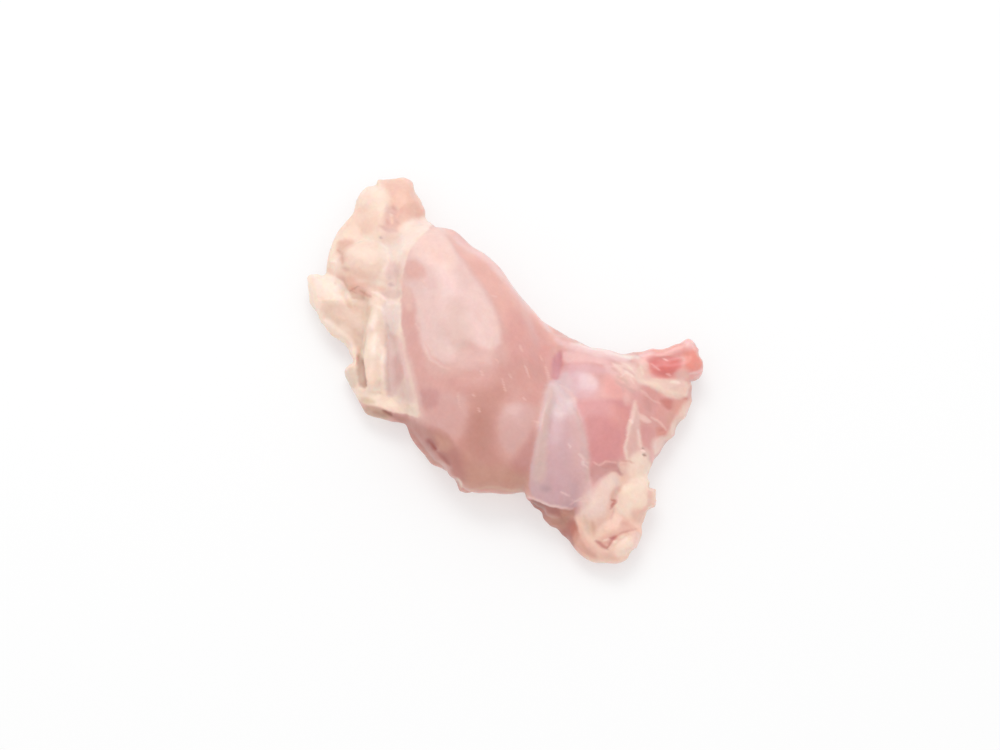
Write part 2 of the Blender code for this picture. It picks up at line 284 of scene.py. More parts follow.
# %% the tissues
TISSUES = {
    "muscle": (225, 174, 166, 0, 0.2),
    "salmon": (235, 181, 170, 0, 0.3),
    "rim pink": (241, 202, 200, 0, 0.6),
    # The next three colours are the muscle's pink with painted shade, where it turns away from the
    # light.
    "tan pink shade": (220, 164, 155, 0, 0.2),
    "brick shade": (200, 142, 129, 0, 0.1),
    "wine": (198, 134, 128, 0, 0.1),
    "dusk": (211, 157, 152, 0, 0.1),
    "apron": (223, 175, 168, 0, 0.4),
    # The pale film colour here and the second film colour below it also carry a painted highlight
    # of the soft box.
    "film": (237, 203, 197, 0, 1),
    "peach film": (246, 213, 203, 0.1, 0.9),
    "second film": (221, 177, 171, 0, 0.9),
    # The next three colours are darkened by painted shade, under overhanging edges and in slits,
    # holes and creases.
    "under": (198, 137, 127, 0, 0.1),
    "deep under shade": (176, 112, 102, 0, 0),
    "umber": (158, 98, 86, 0.1, 0.1),
    "cream": (248, 223, 206, 1, 0.3),
    "pale fat": (254, 233, 219, 1, 0.3),
    "peach fat": (245, 208, 190, 1, 0.2),
    "peach pink": (244, 201, 182, 0.8, 0.2),
    "orange fat": (239, 195, 179, 0.9, 0.2),
    "mottle": (226, 182, 172, 0.5, 0.3),
    "ball fat": (241, 213, 197, 1, 0.2),
    "strap fat": (243, 219, 202, 0.7, 0.5),
    "knob fat": (226, 204, 187, 1, 0.1),
    "yellow fat": (222, 195, 167, 1, 0.1),
    # The next two colours are fat with painted shade, in the slot, in creases and on the brown
    # lump.
    "slot brown": (208, 171, 152, 0.6, 0.2),
    "crease brown": (200, 158, 142, 0.3, 0.2),
    "crease red": (221, 169, 153, 0.3, 0.2),
    "seam": (249, 227, 216, 0.4, 0.6),
    "film dot": (210, 178, 172, 0.2, 0.6),
    "lavender": (241, 218, 211, 0.2, 0.9),
    "gap mauve": (227, 195, 189, 0.1, 0.7),
    "gap red": (217, 170, 164, 0, 0.5),
    "band pink": (235, 198, 193, 0.1, 0.8),
    "inner pink": (225, 168, 163, 0, 0.2),
    "far rim": (252, 241, 234, 0.4, 0.8),
    "pink top": (241, 196, 193, 0, 0.5),
    "mauve belt": (229, 181, 184, 0, 0.5),
    # The next colour is film with a painted highlight of the soft box in it.
    "lilac film highlight": (232, 196, 199, 0, 1),
    "warm red": (229, 162, 155, 0, 0.1),
    "raw red": (221, 153, 152, 0, 0.1),
    "crimson": (214, 149, 155, 0, 0.2),
    "oval pink": (238, 191, 184, 0.3, 0.5),
    "silver": (215, 175, 178, 0, 1),
    "silver pale": (233, 207, 207, 0, 1),
    "silver edge": (222, 190, 183, 0, 1),
    "silver dark": (195, 160, 163, 0, 1),
    "hem": (238, 206, 201, 0.2, 1),
    "knee pale": (242, 214, 203, 0.8, 0.3),
    "tan hollow": (226, 178, 158, 0.8, 0.1),
    "thin pink": (225, 165, 158, 0, 0.2),
    "deep red": (208, 130, 120, 0, 0.2),
    "strand": (240, 199, 189, 0.2, 0.6),
    "strip tan": (232, 191, 181, 0.6, 0.3),
    "tendon": (240, 208, 195, 0.6, 0.4),
    "stub pink": (239, 178, 171, 0, 0.3),
    # The next colour is a painted highlight, for the cut stub's pale ridge and its glints.
    "stub ridge highlight": (250, 200, 194, 0.1, 0.5),
    "cut red": (226, 130, 126, 0, 0.3),
    "cut deep": (224, 120, 114, 0, 0.3),
    "cut orange": (238, 156, 142, 0, 0.3),
    "ball shade": (238, 208, 191, 1, 0.2),
    "brown shade": (190, 148, 128, 0.8, 0.1),
    # The next colour is muscle with painted shade, down the front where it faces away from the
    # light.
    "column": (212, 155, 143, 0, 0.2),
    "film dark": (227, 194, 185, 0.2, 0.8),
    "film foot": (231, 193, 184, 0, 0.5),
    "film grey": (234, 201, 194, 0, 1),
    "film tan": (220, 182, 172, 0, 1),
    # The next colour is painted shade in the small folds of the hip fat.
    "fold dark": (210, 160, 144, 0.5, 0.2),
    "fold pale": (238, 204, 190, 0.6, 0.3),
    "gap dark": (218, 176, 164, 0.1, 0.5),
    "knee mid": (240, 202, 184, 1, 0.2),
    "lilac low": (222, 166, 170, 0, 0.8),
    "lobe cream": (252, 226, 211, 1, 0.2),
    # The next colour is painted shade along the front edge and under it.
    "low brown shade": (208, 156, 138, 0, 0.2),
    "mouth coral": (228, 170, 157, 0.4, 0.2),
    # The next colour is painted shade where the knee lobes close on each other.
    "mouth red": (208, 140, 131, 0.4, 0.2),
    "orange corner": (231, 189, 172, 0.8, 0.2),
    "rim line": (205, 156, 144, 0.2, 0.2),
    "seam side": (244, 214, 203, 0.4, 0.5),
    "sheet tan": (230, 198, 180, 0.8, 0.3),
    "slit coral": (232, 188, 176, 0.6, 0.2),
    "slit red": (207, 146, 139, 0.3, 0.2),
    "spot pink": (229, 178, 168, 0, 0.3),
    "strap end": (232, 205, 188, 0.9, 0.3),
    # The next colour is painted shade along the seam under the front edge.
    "strip dark shade": (190, 142, 130, 0.1, 0.2),
    "stub skin": (246, 210, 208, 0.2, 0.6),
    "thin orange": (224, 156, 143, 0, 0.2),
    "under fold": (198, 126, 108, 0, 0.1),
    # The next colour is painted shade down inside the slits.
    "deep slit shade": (156, 58, 46, 0, 0),
    "crimson red": (202, 112, 106, 0.2, 0.2),
    "pink fat": (246, 212, 203, 0.8, 0.3),
    "silver side": (226, 184, 181, 0, 1),
    # The next colour is painted shade under the overhanging edges.
    "under red shade": (187, 125, 115, 0, 0.1),
}


def carried(red, green, blue, fat, film):
    """A tissue as a point carries it: red, green and blue as amounts of light, fat, film."""
    share = np.array([red, green, blue], float) / 255
    light = np.where(share > 0.04045, ((share + 0.055) / 1.055) ** 2.4, share / 12.92)
    return np.array([*light, fat, film])


# Each point's row: the five numbers above and how far it is raised, in millimetres.
layers = np.zeros((len(points), 6))
layers[:, :5] = carried(*TISSUES["muscle"])
print("tissues", len(TISSUES), "and muscle everywhere to begin with")

# %% [markdown]
# Three brushes are enough. A patch fills a closed outline, a spot is an oval, and a streak
# follows a line. Each says how strongly it covers, how soft its edge is and how far it raises
# the surface or presses it in, so that a fold is drawn and shaped by one stroke. The same could
# be painted by hand in texture paint, but strokes with names can be read, moved and run again.
# Outlines and middles are picture points. Widths, edges and heights are millimetres.

# %% distances to an outline or a line
CORNER_ROUNDS = 2
TINY = 1e-12


def rounded_outline(corners):
    """Cuts a quarter off both ends of each side, as a soft edge has no corners."""
    line = np.array(corners, float)
    for _ in range(CORNER_ROUNDS):
        after = np.roll(line, -1, 0)
        line = np.stack([0.75 * line + 0.25 * after, 0.25 * line + 0.75 * after], 1)
        line = line.reshape(-1, 2)
    return line


def nearest(places, starts, stops):
    """Each place's distance to the nearest line, which line that is, and how far along it."""
    run = stops - starts
    length = np.maximum((run * run).sum(1), TINY)
    apart = places[:, None] - starts[None]
    share = np.clip((apart * run).sum(2) / length, 0, 1)
    gap = np.linalg.norm(apart - share[..., None] * run, axis=2)
    best = gap.argmin(1)
    rows = np.arange(len(places))
    return gap[rows, best], best, share[rows, best]


def inside(places, outline):
    """Whether a ray from the place crosses the outline an odd number of times."""
    after = np.roll(outline, -1, 0)
    x, y = places[:, :1], places[:, 1:]
    crosses = (outline[:, 1] > y) != (after[:, 1] > y)
    rise = np.where(after[:, 1] == outline[:, 1], TINY, after[:, 1] - outline[:, 1])
    reach = outline[:, 0] + (y - outline[:, 1]) * (after[:, 0] - outline[:, 0]) / rise
    return (crosses & (x < reach)).sum(1) % 2 == 1


# %% the three brushes
BOX_SLACK = 1.6
TAPER = 0.45
laid = []


def lay(name, chosen, depth, tissue, strength, soft, lift):
    """Mixes a tissue in where depth, in picture points inside the edge, is above zero."""
    laid.append(name)
    blur = soft * edge_care[chosen]
    share = np.clip((depth * POINT_MM + blur) / (2 * blur), 0, 1)
    share = share * share * (3 - 2 * share)
    cover = (strength * share)[:, None]
    layers[chosen, :5] += cover * (carried(*TISSUES[tissue]) - layers[chosen, :5])
    layers[chosen, 5] += lift * share


def near(low, high, margin):
    """Which points of the meat lie in a box of the picture; the margin is in millimetres."""
    reach = BOX_SLACK * margin / POINT_MM
    return np.where(((drawn > low - reach) & (drawn < high + reach)).all(1))[0]


def patch(name, tissue, strength, soft, lift, corners):
    """A closed outline, filled."""
    outline = rounded_outline(corners)
    chosen = near(outline.min(0), outline.max(0), soft)
    places = drawn[chosen]
    gap, _, _ = nearest(places, outline, np.roll(outline, -1, 0))
    depth = np.where(inside(places, outline), gap, -gap)
    lay(name, chosen, depth, tissue, strength, soft, lift)


def spot(name, tissue, strength, soft, lift, middle, half_wide, half_high):
    """An upright oval; its two half sizes are picture points."""
    half = np.array([half_wide, half_high])
    chosen = near(middle - half, middle + half, soft)
    depth = (1 - np.linalg.norm((drawn[chosen] - middle) / half, axis=1)) * half.min()
    lay(name, chosen, depth, tissue, strength, soft, lift)


def streak(name, tissue, strength, width, soft, lift, line):
    """A line that is widest in its middle and runs out thin at both ends."""
    line = np.array(line, float)
    chosen = near(line.min(0), line.max(0), width + soft)
    gap, part, share = nearest(drawn[chosen], line[:-1], line[1:])
    lengths = np.linalg.norm(line[1:] - line[:-1], axis=1)
    before = np.concatenate([[0], np.cumsum(lengths)[:-1]])
    along = (before[part] + share * lengths[part]) / lengths.sum()
    half_width = 0.5 * width / POINT_MM * (1 - TAPER * np.abs(2 * along - 1) ** 3)
    lay(name, chosen, half_width - gap, tissue, strength, soft, lift)


def streaks(name, tissue, strength, width, soft, lift, lines):
    """Several streaks of one kind, numbered."""
    for number, line in enumerate(lines, 1):
        streak(f"{name} {number}", tissue, strength, width, soft, lift, line)


def tell(part):
    """Prints what a cell has laid, and starts the next count."""
    print(part, len(laid), "strokes, from", laid[0], "to", laid[-1])
    laid.clear()


print("brushes", [brush.__name__ for brush in (patch, spot, streak)])

# %% [markdown]
# ## The outer muscle
# The largest muscle is pink, with painted shade making it browner where it turns down at the
# front. A pale film lies over its crest, with a painted highlight in it, and ends in a clean
# edge on the far side, with a second small film lower down that has a painted highlight too.

# %% draw the outer muscle
patch("crest behind the film", "salmon", 0.9, 1.2, 0, [
    (446, 230), (460, 236), (500, 266), (532, 300), (560, 334), (556, 350), (524, 345),
    (506, 330), (494, 300), (474, 272), (454, 248)])
streak("pale far rim", "rim pink", 0.75, 2, 1, 0, [
    (456, 236), (474, 250), (490, 262), (507, 280), (532, 309), (550, 330)])
patch("deep belt", "thin pink", 0.9, 2.2, 0, [
    (508, 306), (530, 318), (548, 338), (556, 352), (551, 380), (543, 402), (524, 402),
    (508, 368), (506, 330)])
# Painted shade: the middle and the front of the muscle get darker browns where they turn down, away
# from the soft box.
patch("shaded middle of the muscle", "tan pink shade", 0.8, 2.5, 0, [
    (445, 374), (470, 362), (505, 356), (520, 356), (546, 372), (544, 402), (534, 412),
    (508, 402), (480, 402), (450, 394)])
patch("brown column shade", "column", 0.95, 3, 0, [
    (468, 388), (508, 384), (502, 405), (494, 430), (500, 455), (520, 464), (533, 492),
    (465, 494), (448, 474), (446, 450), (462, 437), (467, 412)])
patch("column heart shade", "brick shade", 0.8, 3.5, 0, [
    (470, 412), (494, 410), (492, 450), (486, 460), (468, 452)])
patch("low brown shade", "low brown shade", 0.8, 2.5, 0, [
    (462, 462), (500, 466), (532, 470), (533, 493), (466, 493)])
patch("flank blend", "low brown shade", 0.4, 2.4, 0, [
    (460, 448), (476, 448), (480, 486), (466, 488), (462, 470)])
patch("wine shade", "wine", 0.6, 2.2, 0, [
    (534, 426), (537, 450), (533, 474), (518, 476), (510, 462), (522, 448), (530, 436)])
streak("low yellow edge", "yellow fat", 0.35, 0.9, 0.5, 0, [(470, 490), (495, 491), (522, 490)])
patch("left strip", "muscle", 0.88, 1, 0, [
    (400, 284), (411, 286), (416, 300), (419, 315), (421, 330), (423, 346), (430, 362),
    (442, 378), (434, 394), (420, 392), (406, 353), (398, 330)])
streak("peach top", "strip tan", 0.9, 3.4, 0.8, 0, [(405, 290), (409, 308)])
patch("dusky patch", "dusk", 0.85, 1.5, 0, [
    (416, 388), (438, 388), (441, 402), (430, 412), (420, 406)])
patch("pale apron", "apron", 0.9, 1.6, 0, [
    (440, 394), (462, 392), (467, 404), (465, 424), (459, 439), (446, 434), (424, 420),
    (438, 410)])
tell("outer muscle:")

# %% [markdown]
# The films go on top of the flesh that they cover, so they are drawn after it. A large soft
# stroke gives each its body, and smaller ones over it give the pale and tan places. The pale
# film on the crest and the second film below it also carry a painted highlight, where the
# soft box shines on the wet muscle.

# %% draw the films over the outer muscle
patch("film foot", "film foot", 0.7, 3, 0, [
    (426, 350), (446, 360), (470, 352), (500, 348), (508, 357), (480, 367), (446, 376),
    (430, 370)])
# Painted highlight: the big film is paler where the soft box shines on the wet crest.
patch("big film with highlight", "film", 0.97, 1.3, 0.1, [
    (400, 284), (404, 262), (406, 250), (424, 232), (440, 231), (449, 242), (458, 254),
    (471, 272), (486, 291), (495, 311), (501, 332), (500, 347), (488, 351), (477, 345),
    (467, 340), (460, 347), (454, 361), (444, 364), (427, 356), (420, 342), (418, 325),
    (416, 308), (414, 296), (410, 288)])
patch("film fade", "apron", 0.6, 2.2, 0, [
    (456, 352), (474, 348), (502, 352), (508, 362), (482, 372), (458, 370)])
patch("film top", "peach film", 0.8, 1.6, 0, [
    (405, 250), (424, 232), (442, 230), (455, 252), (458, 268), (440, 276), (424, 262)])
streak("film highlight side", "peach film", 0.35, 4.5, 1.8, 0, [
    (474, 292), (486, 312), (492, 332), (490, 346)])
patch("film oval", "film tan", 0.85, 2.8, 0, [
    (444, 306), (456, 300), (470, 308), (474, 328), (472, 346), (462, 356), (452, 350),
    (442, 334)])
spot("film tan spot", "film grey", 0.7, 1.6, 0, (437, 272), 10, 6)
patch("film pink spot", "spot pink", 0.8, 1.2, -0.05, [
    (403, 262), (413, 259), (422, 265), (428, 274), (421, 280), (412, 279), (405, 281)])
patch("film left", "film grey", 0.6, 2, 0, [
    (415, 286), (436, 284), (444, 320), (446, 352), (432, 356), (423, 330)])
streak("film fold", "salmon", 0.6, 0.5, 0.35, -0.08, [
    (425, 342), (431, 356), (441, 363), (450, 368)])
streak("film fold light", "peach film", 0.4, 0.6, 0.35, 0.08, [(424, 347), (430, 360), (446, 369)])
# Painted highlight: the second film is paler where the soft box shines on the muscle.
patch("second film", "second film", 0.9, 1.4, 0.05, [
    (510, 404), (534, 402), (535, 418), (523, 443), (512, 453), (502, 447), (498, 431),
    (502, 413)])
spot("second film highlight", "second film", 0.8, 1.4, 0, (518, 413), 12, 9)
streak("top seam", "peach film", 0.45, 1.4, 0.8, 0, [(424, 229), (440, 230), (452, 234)])
tell("films over it:")

# %% [markdown]
# ## Under the front edge
# Below the outer muscle a lower layer shows, darkened with painted shade where the edge
# overhangs it, with a slit where the two do not touch that is painted dark as shade.

# %% draw the layer under the front edge
# Painted shade: the layer, its slits and the strip along its seam are darkened where the front edge
# overhangs them.
patch("shaded under layer", "under", 0.97, 1.5, -0.1, [
    (388, 412), (404, 418), (416, 422), (431, 427), (442, 432), (449, 437), (455, 446),
    (458, 460), (460, 478), (462, 486), (455, 482), (446, 470), (430, 463), (414, 446),
    (402, 430)])
patch("orange ridge", "low brown shade", 0.95, 2.2, 0.1, [
    (432, 432), (447, 436), (454, 449), (443, 453), (435, 445)])
patch("under shade", "under red shade", 0.75, 1.2, 0, [
    (412, 425), (430, 431), (436, 442), (424, 446), (415, 438)])
patch("front shade", "under red shade", 0.7, 2.6, 0, [
    (450, 448), (461, 451), (466, 463), (467, 478), (461, 483), (455, 472), (448, 460)])
streak("under rim", "rim line", 0.6, 2.4, 0.8, 0.05, [(418, 449), (430, 461), (449, 468)])
streak("under rim line", "rim line", 0.35, 0.6, 0.35, 0.08, [(436, 460), (444, 465), (451, 468)])
spot("slit bed", "deep under shade", 0.7, 1.2, 0, (430, 446), 7, 6)
patch("slit", "deep slit shade", 0.8, 0.7, -0.14, [
    (425, 440), (429, 438), (431, 442), (435, 445), (437, 450), (433, 450), (430, 446),
    (426, 444)])
patch("second slit bed", "under red shade", 0.8, 0.8, -0.05, [
    (438, 450), (447, 453), (452, 464), (444, 463)])
streak("second slit", "deep slit shade", 0.38, 1.1, 0.6, -0.1, [(437, 452), (443, 458), (449, 465)])
streak("dark strip shade", "strip dark shade", 0.35, 1.8, 0.8, -0.05, [
    (388, 415), (404, 420), (420, 428), (432, 436)])
patch("crumb", "ball shade", 0.85, 0.6, 0.1, [
    (455, 478), (459, 479), (463, 485), (461, 488), (457, 486)])
tell("front edge:")

# %% [markdown]
# ## The hip end
# Fat folds over itself here: a round ball, lobes round the rim, a thin sheet that ends in a
# spike, and two straps with a slot between them. Pink shows only down in the creases.

# %% draw the fat of the hip
patch("hip fat", "cream", 1, 0.4, 0, [
    (432, 224), (427, 231), (420, 239), (411, 247), (407, 256), (404, 268), (402, 290),
    (400, 318), (403, 334), (406, 350), (409, 364), (413, 380), (417, 398), (421, 419),
    (405, 414), (385, 411), (340, 392), (296, 310), (296, 265), (322, 228), (348, 188),
    (376, 170), (416, 170), (434, 214)])
patch("top lobe", "orange fat", 0.9, 1.5, 0, [
    (381, 184), (384, 170), (414, 170), (424, 200), (428, 216), (404, 221), (396, 231),
    (385, 228), (384, 214), (391, 201), (388, 190)])
streak("top lobe tip", "peach pink", 0.8, 1.6, 0.8, 0, [(386, 180), (404, 178)])
patch("top lobe coral", "orange fat", 0.85, 1, 0, [
    (396, 200), (422, 200), (426, 216), (404, 220), (396, 232), (384, 229), (384, 222),
    (394, 215)])
# Painted highlights: the light strokes on the top lobe and in the mottled spot are glints of light
# on the wet fat.
patch("top lobe highlight", "peach pink", 0.6, 1.6, 0, [
    (392, 192), (412, 190), (416, 202), (404, 206), (394, 204)])
patch("mottled spot", "mottle", 0.68, 1, -0.08, [
    (384, 209), (391, 204), (399, 211), (399, 224), (392, 231), (381, 224)])
streak("mottle low", "mottle", 0.8, 1.2, 0.5, -0.12, [(380, 226), (388, 230), (396, 231)])
streak("mottle highlight", "peach pink", 0.9, 0.9, 0.3, 0.15, [(390, 217), (392, 224)])
streak("mottle highlight two", "peach pink", 0.8, 0.9, 0.4, 0.12, [(392, 196), (398, 196)])
streak("mottle highlight three", "peach pink", 0.7, 0.8, 0.3, 0.1, [(399, 212), (396, 217)])
streak("mottle highlight four", "pale fat", 0.7, 0.5, 0.25, 0.1, [(389, 214), (391, 216)])
streaks("mottle red speck", "crease red", 0.6, 0.6, 0.3, -0.1, [
    [(392, 207), (396, 210)],
    [(386, 219), (388, 224)],
])
streak("mottle red five", "crease red", 0.5, 0.5, 0.25, -0.08, [(396, 222), (400, 225)])
patch("peach lobe", "peach fat", 0.8, 1.4, 0, [
    (352, 204), (376, 208), (382, 216), (380, 228), (366, 236), (346, 234)])
patch("cream top", "lobe cream", 0.8, 1.2, 0.05, [
    (362, 190), (380, 184), (388, 194), (380, 204), (362, 202)])
streak("lobe rim", "peach fat", 0.6, 1.6, 0.8, 0, [(352, 214), (345, 226), (336, 236)])
tell("hip lobes:")

# %% [markdown]
# Beside the rim a crease lets pink show through, and a ball of fat sits next to it. Pale and
# dark strokes in turn, painted highlight and painted shade, make the small folds between them.
# The ball has a painted highlight on top and painted shade below, the bright bead is a painted
# glint, and the fill strokes paint the hollow of the crease lighter against its shade.

# %% draw the rim, its crease and the ball
patch("rim lobe", "cream", 0.85, 0.8, 0.1, [
    (325, 246), (337, 232), (343, 240), (338, 256), (333, 274), (325, 270)])
streak("rim shade", "ball shade", 0.8, 1.6, 0.8, 0, [(327, 264), (331, 272), (338, 275)])
patch("pink crease", "orange corner", 0.95, 1.1, -0.12, [
    (337, 240), (350, 238), (354, 243), (349, 250), (348, 262), (343, 266), (339, 260),
    (337, 250)])
streak("brown crease", "crease red", 0.8, 0.7, 0.35, -0.15, [(338, 250), (342, 255), (342, 263)])
# Painted glint on the rim lobe.
streak("bright bead", "pale fat", 0.8, 0.9, 0.35, 0.2, [(332, 261), (336, 262)])
patch("red spot", "orange corner", 0.9, 0.6, -0.15, [
    (340, 266), (350, 267), (351, 274), (343, 273)])
streak("red spot heart", "crease red", 0.9, 1, 0.4, -0.1, [(344, 269), (348, 271)])
patch("ball", "ball fat", 0.85, 1.2, 0, [
    (347, 250), (360, 243), (380, 245), (386, 260), (384, 282), (372, 286), (354, 279),
    (346, 268)])
# Painted highlight on the top of the ball.
spot("ball top highlight", "lobe cream", 0.8, 1.4, 0.05, (364, 252), 13, 6)
streak("ball shade", "ball shade", 0.75, 1.8, 1, 0, [(352, 270), (368, 276), (388, 282)])
streak("ball low shade", "orange corner", 0.8, 1.8, 0.8, -0.05, [
    (362, 284), (374, 287), (384, 289)])
patch("ball foot", "orange corner", 0.5, 1.8, -0.03, [
    (335, 266), (350, 268), (366, 267), (373, 276), (364, 283), (348, 277)])
# The fill strokes paint the crease lighter, against the shade of its hollow.
patch("fold fill", "fold pale", 0.6, 1.2, 0.4, [
    (335, 272), (348, 277), (360, 281), (373, 289), (374, 299), (362, 298), (350, 294),
    (340, 287)])
streak("crease fill", "orange fat", 0.6, 3.2, 1.4, 0.2, [
    (332, 273), (340, 281), (347, 288), (352, 294)])
patch("orange corner", "orange corner", 0.9, 1, 0.1, [
    (338, 274), (356, 276), (356, 284), (346, 292), (338, 284)])
patch("red fold", "orange fat", 0.85, 1, 0.35, [
    (347, 281), (358, 280), (370, 288), (372, 298), (362, 295), (354, 293), (348, 290)])
streak("dark fold", "fold dark", 0.75, 0.5, 0.25, -0.1, [(351, 292), (354, 288), (359, 286)])
streak("fold ray", "fold dark", 0.5, 0.4, 0.25, -0.08, [(352, 289), (357, 293)])
streak("dark fold two", "crease red", 0.8, 0.8, 0.4, -0.1, [(361, 290), (366, 293), (371, 297)])
streak("fold foot", "sheet tan", 0.95, 1.8, 0.7, 0.1, [(353, 298), (366, 300)])
tell("rim and ball:")

# %% [markdown]
# Lower down the fat is a sheet with a thick pale edge, then two straps. The slot between the
# straps is pressed in by two strokes, the second one narrow, to deepen its middle, and both
# paint it brown as shade. The straps carry painted highlights.

# %% draw the fat sheet and the straps
patch("spike", "pale fat", 0.9, 0.7, 0.1, [
    (303, 271), (340, 276), (350, 291), (353, 300), (320, 300), (309, 290)])
streak("spike tip", "lobe cream", 0.7, 2, 0.8, 0, [(312, 280), (314, 296), (322, 314)])
spot("spike dot", "fold pale", 0.6, 0.4, -0.1, (335, 284), 1.5, 1.5)
streak("sheet ridge", "lobe cream", 0.85, 0.9, 0.4, 0.25, [(318, 301), (335, 300), (356, 301)])
patch("fat sheet", "sheet tan", 0.9, 1.3, -0.12, [
    (323, 303), (340, 304), (374, 303), (372, 320), (366, 340), (364, 352), (352, 346),
    (338, 332), (320, 312)])
streak("sheet light", "ball fat", 0.75, 1.5, 0.7, 0.05, [(342, 326), (350, 333), (358, 340)])
streak("sheet edge", "pale fat", 0.8, 2, 0.8, 0.3, [(326, 320), (338, 330), (350, 341), (354, 350)])
patch("strap foot", "ball fat", 0.75, 1.2, 0.3, [
    (357, 322), (366, 320), (369, 338), (365, 352), (358, 348)])
patch("strap", "strap fat", 0.92, 0.5, 0.22, [
    (372, 306), (383, 306), (386, 320), (387, 345), (386, 370), (387, 392), (368, 392),
    (364, 370), (361, 348), (366, 330)])
# Painted highlights: the palest strokes on the strap are glints on the wet fat.
streak("strap highlight", "pale fat", 0.9, 1.8, 0.6, 0.15, [(375, 316), (373, 328)])
patch("strap highlight two", "pale fat", 0.9, 1, 0.08, [(370, 336), (383, 334), (384, 356), (370, 358)])
patch("strap low", "cream", 0.85, 1.2, 0.15, [(368, 364), (386, 362), (387, 388), (370, 388)])
streak("strap side", "pale fat", 0.35, 2.6, 1.3, 0, [(380, 328), (383, 350), (382, 384)])
spot("slot end", "pale fat", 0.85, 1.2, 0.2, (377, 391), 10, 6)
# Painted shade: the slot is painted brown down in its hollow.
patch("slot", "slot brown", 0.97, 0.6, -0.3, [
    (357, 356), (361, 353), (364, 364), (368, 388), (360, 389), (355, 374)])
streak("slot deep", "crease brown", 0.85, 1, 0.4, -0.25, [(361, 360), (366, 386)])
patch("left knob", "knob fat", 0.9, 0.6, 0, [
    (342, 374), (350, 366), (355, 370), (358, 386), (352, 390)])
patch("low strap", "cream", 0.95, 0.5, 0.2, [
    (355, 388), (366, 389), (388, 391), (400, 399), (418, 406), (422, 419), (402, 413),
    (384, 409), (360, 402)])
patch("yellow fat", "yellow fat", 0.85, 0.7, 0, [(358, 397), (372, 398), (378, 404), (363, 404)])
patch("low strap end", "strap end", 0.7, 1.6, 0, [(398, 402), (417, 407), (421, 418), (402, 412)])
# Painted shade: the brown lump and its crease face down, away from the light.
patch("brown lump", "slot brown", 0.95, 0.7, 0, [
    (362, 404), (388, 410), (391, 421), (374, 422), (360, 411)])
streak("brown lump shade", "brown shade", 0.8, 1.4, 0.7, 0, [(374, 412), (386, 417)])
streak("black crease shade", "umber", 0.85, 1.1, 0.45, -0.25, [(383, 411), (391, 415)])
tell("sheet and straps:")

# %% [markdown]
# Between the fat and the muscle runs a see-through film. What lies under it makes it mauve in
# one place and cream in another, and its free edge is the palest line on the whole piece.

# %% draw the film beside the muscle
patch("seam top", "seam", 0.8, 0.9, 0.08, [
    (401, 223), (424, 219), (430, 223), (427, 230), (418, 240), (408, 250), (400, 254),
    (402, 240)])
patch("seam side", "seam side", 0.8, 0.8, 0.04, [
    (400, 252), (408, 249), (404, 266), (402, 290), (400, 290)])
patch("mauve film", "film grey", 0.45, 1.4, -0.05, [
    (384, 229), (396, 228), (402, 234), (398, 246), (384, 246), (379, 238)])
streak("mauve dot", "film dot", 0.7, 0.9, 0.4, -0.08, [(380, 237), (382, 238)])
patch("cream film", "seam", 0.8, 1.2, 0, [
    (384, 244), (402, 240), (404, 246), (402, 262), (380, 263), (376, 250)])
patch("tan film", "film grey", 0.8, 1.1, 0, [(384, 262), (401, 262), (401, 277), (385, 279)])
streak("film dots", "film dot", 0.8, 0.9, 0.4, -0.1, [(388, 278), (391, 279)])
patch("film dark", "film dark", 0.75, 1.1, 0, [(385, 270), (400, 268), (400, 291), (386, 291)])
streak("film dots two", "film dot", 0.9, 1.2, 0.5, -0.1, [(389, 284), (393, 285)])
patch("dark film", "film dark", 0.85, 0.8, -0.12, [(377, 291), (402, 289), (402, 299), (384, 300)])
streak("white curl", "pale fat", 0.9, 0.9, 0.35, 0.25, [(373, 292), (379, 295), (384, 300)])
patch("lavender film", "lavender", 0.9, 0.8, 0.08, [
    (381, 301), (401, 300), (400, 322), (398, 331), (391, 338), (386, 335), (382, 318)])
streak("lavender light", "seam", 0.8, 1.5, 0.7, 0.1, [(388, 305), (399, 304)])
streak("lavender dot", "film dot", 0.4, 1, 0.5, -0.05, [(386, 325), (388, 328)])
streak("lavender shade", "film grey", 0.5, 1.8, 0.8, 0, [(387, 330), (388, 342)])
patch("mauve gap", "gap mauve", 0.9, 0.7, -0.2, [
    (386, 336), (393, 333), (399, 344), (404, 358), (405, 374), (400, 388), (394, 398),
    (386, 397), (385, 366)])
streak("gap shade", "gap dark", 0.55, 1, 0.6, -0.05, [(388, 346), (387, 370), (389, 392)])
patch("red gap", "gap red", 0.75, 1.5, 0, [
    (393, 354), (401, 356), (406, 370), (402, 384), (394, 386), (391, 370)])
patch("pink band", "band pink", 0.9, 0.7, 0.08, [
    (394, 334), (401, 338), (405, 352), (408, 366), (411, 382), (406, 382), (402, 366),
    (398, 352)])
patch("pale band", "film dark", 0.85, 1.6, 0, [
    (398, 382), (411, 378), (417, 402), (408, 405), (396, 397)])
streak("border blend", "film foot", 0.75, 1.5, 0.8, 0, [
    (402, 334), (407, 356), (413, 378), (418, 398), (422, 416)])
tell("film beside the muscle:")

# %% [markdown]
# ## The inner muscle
# The smaller muscle is the reddest where nothing covers it, lilac where film does, with a
# painted highlight on that film, and pale along its far rim. A crimson crease, deepened with
# painted shade, parts it from the outer muscle.

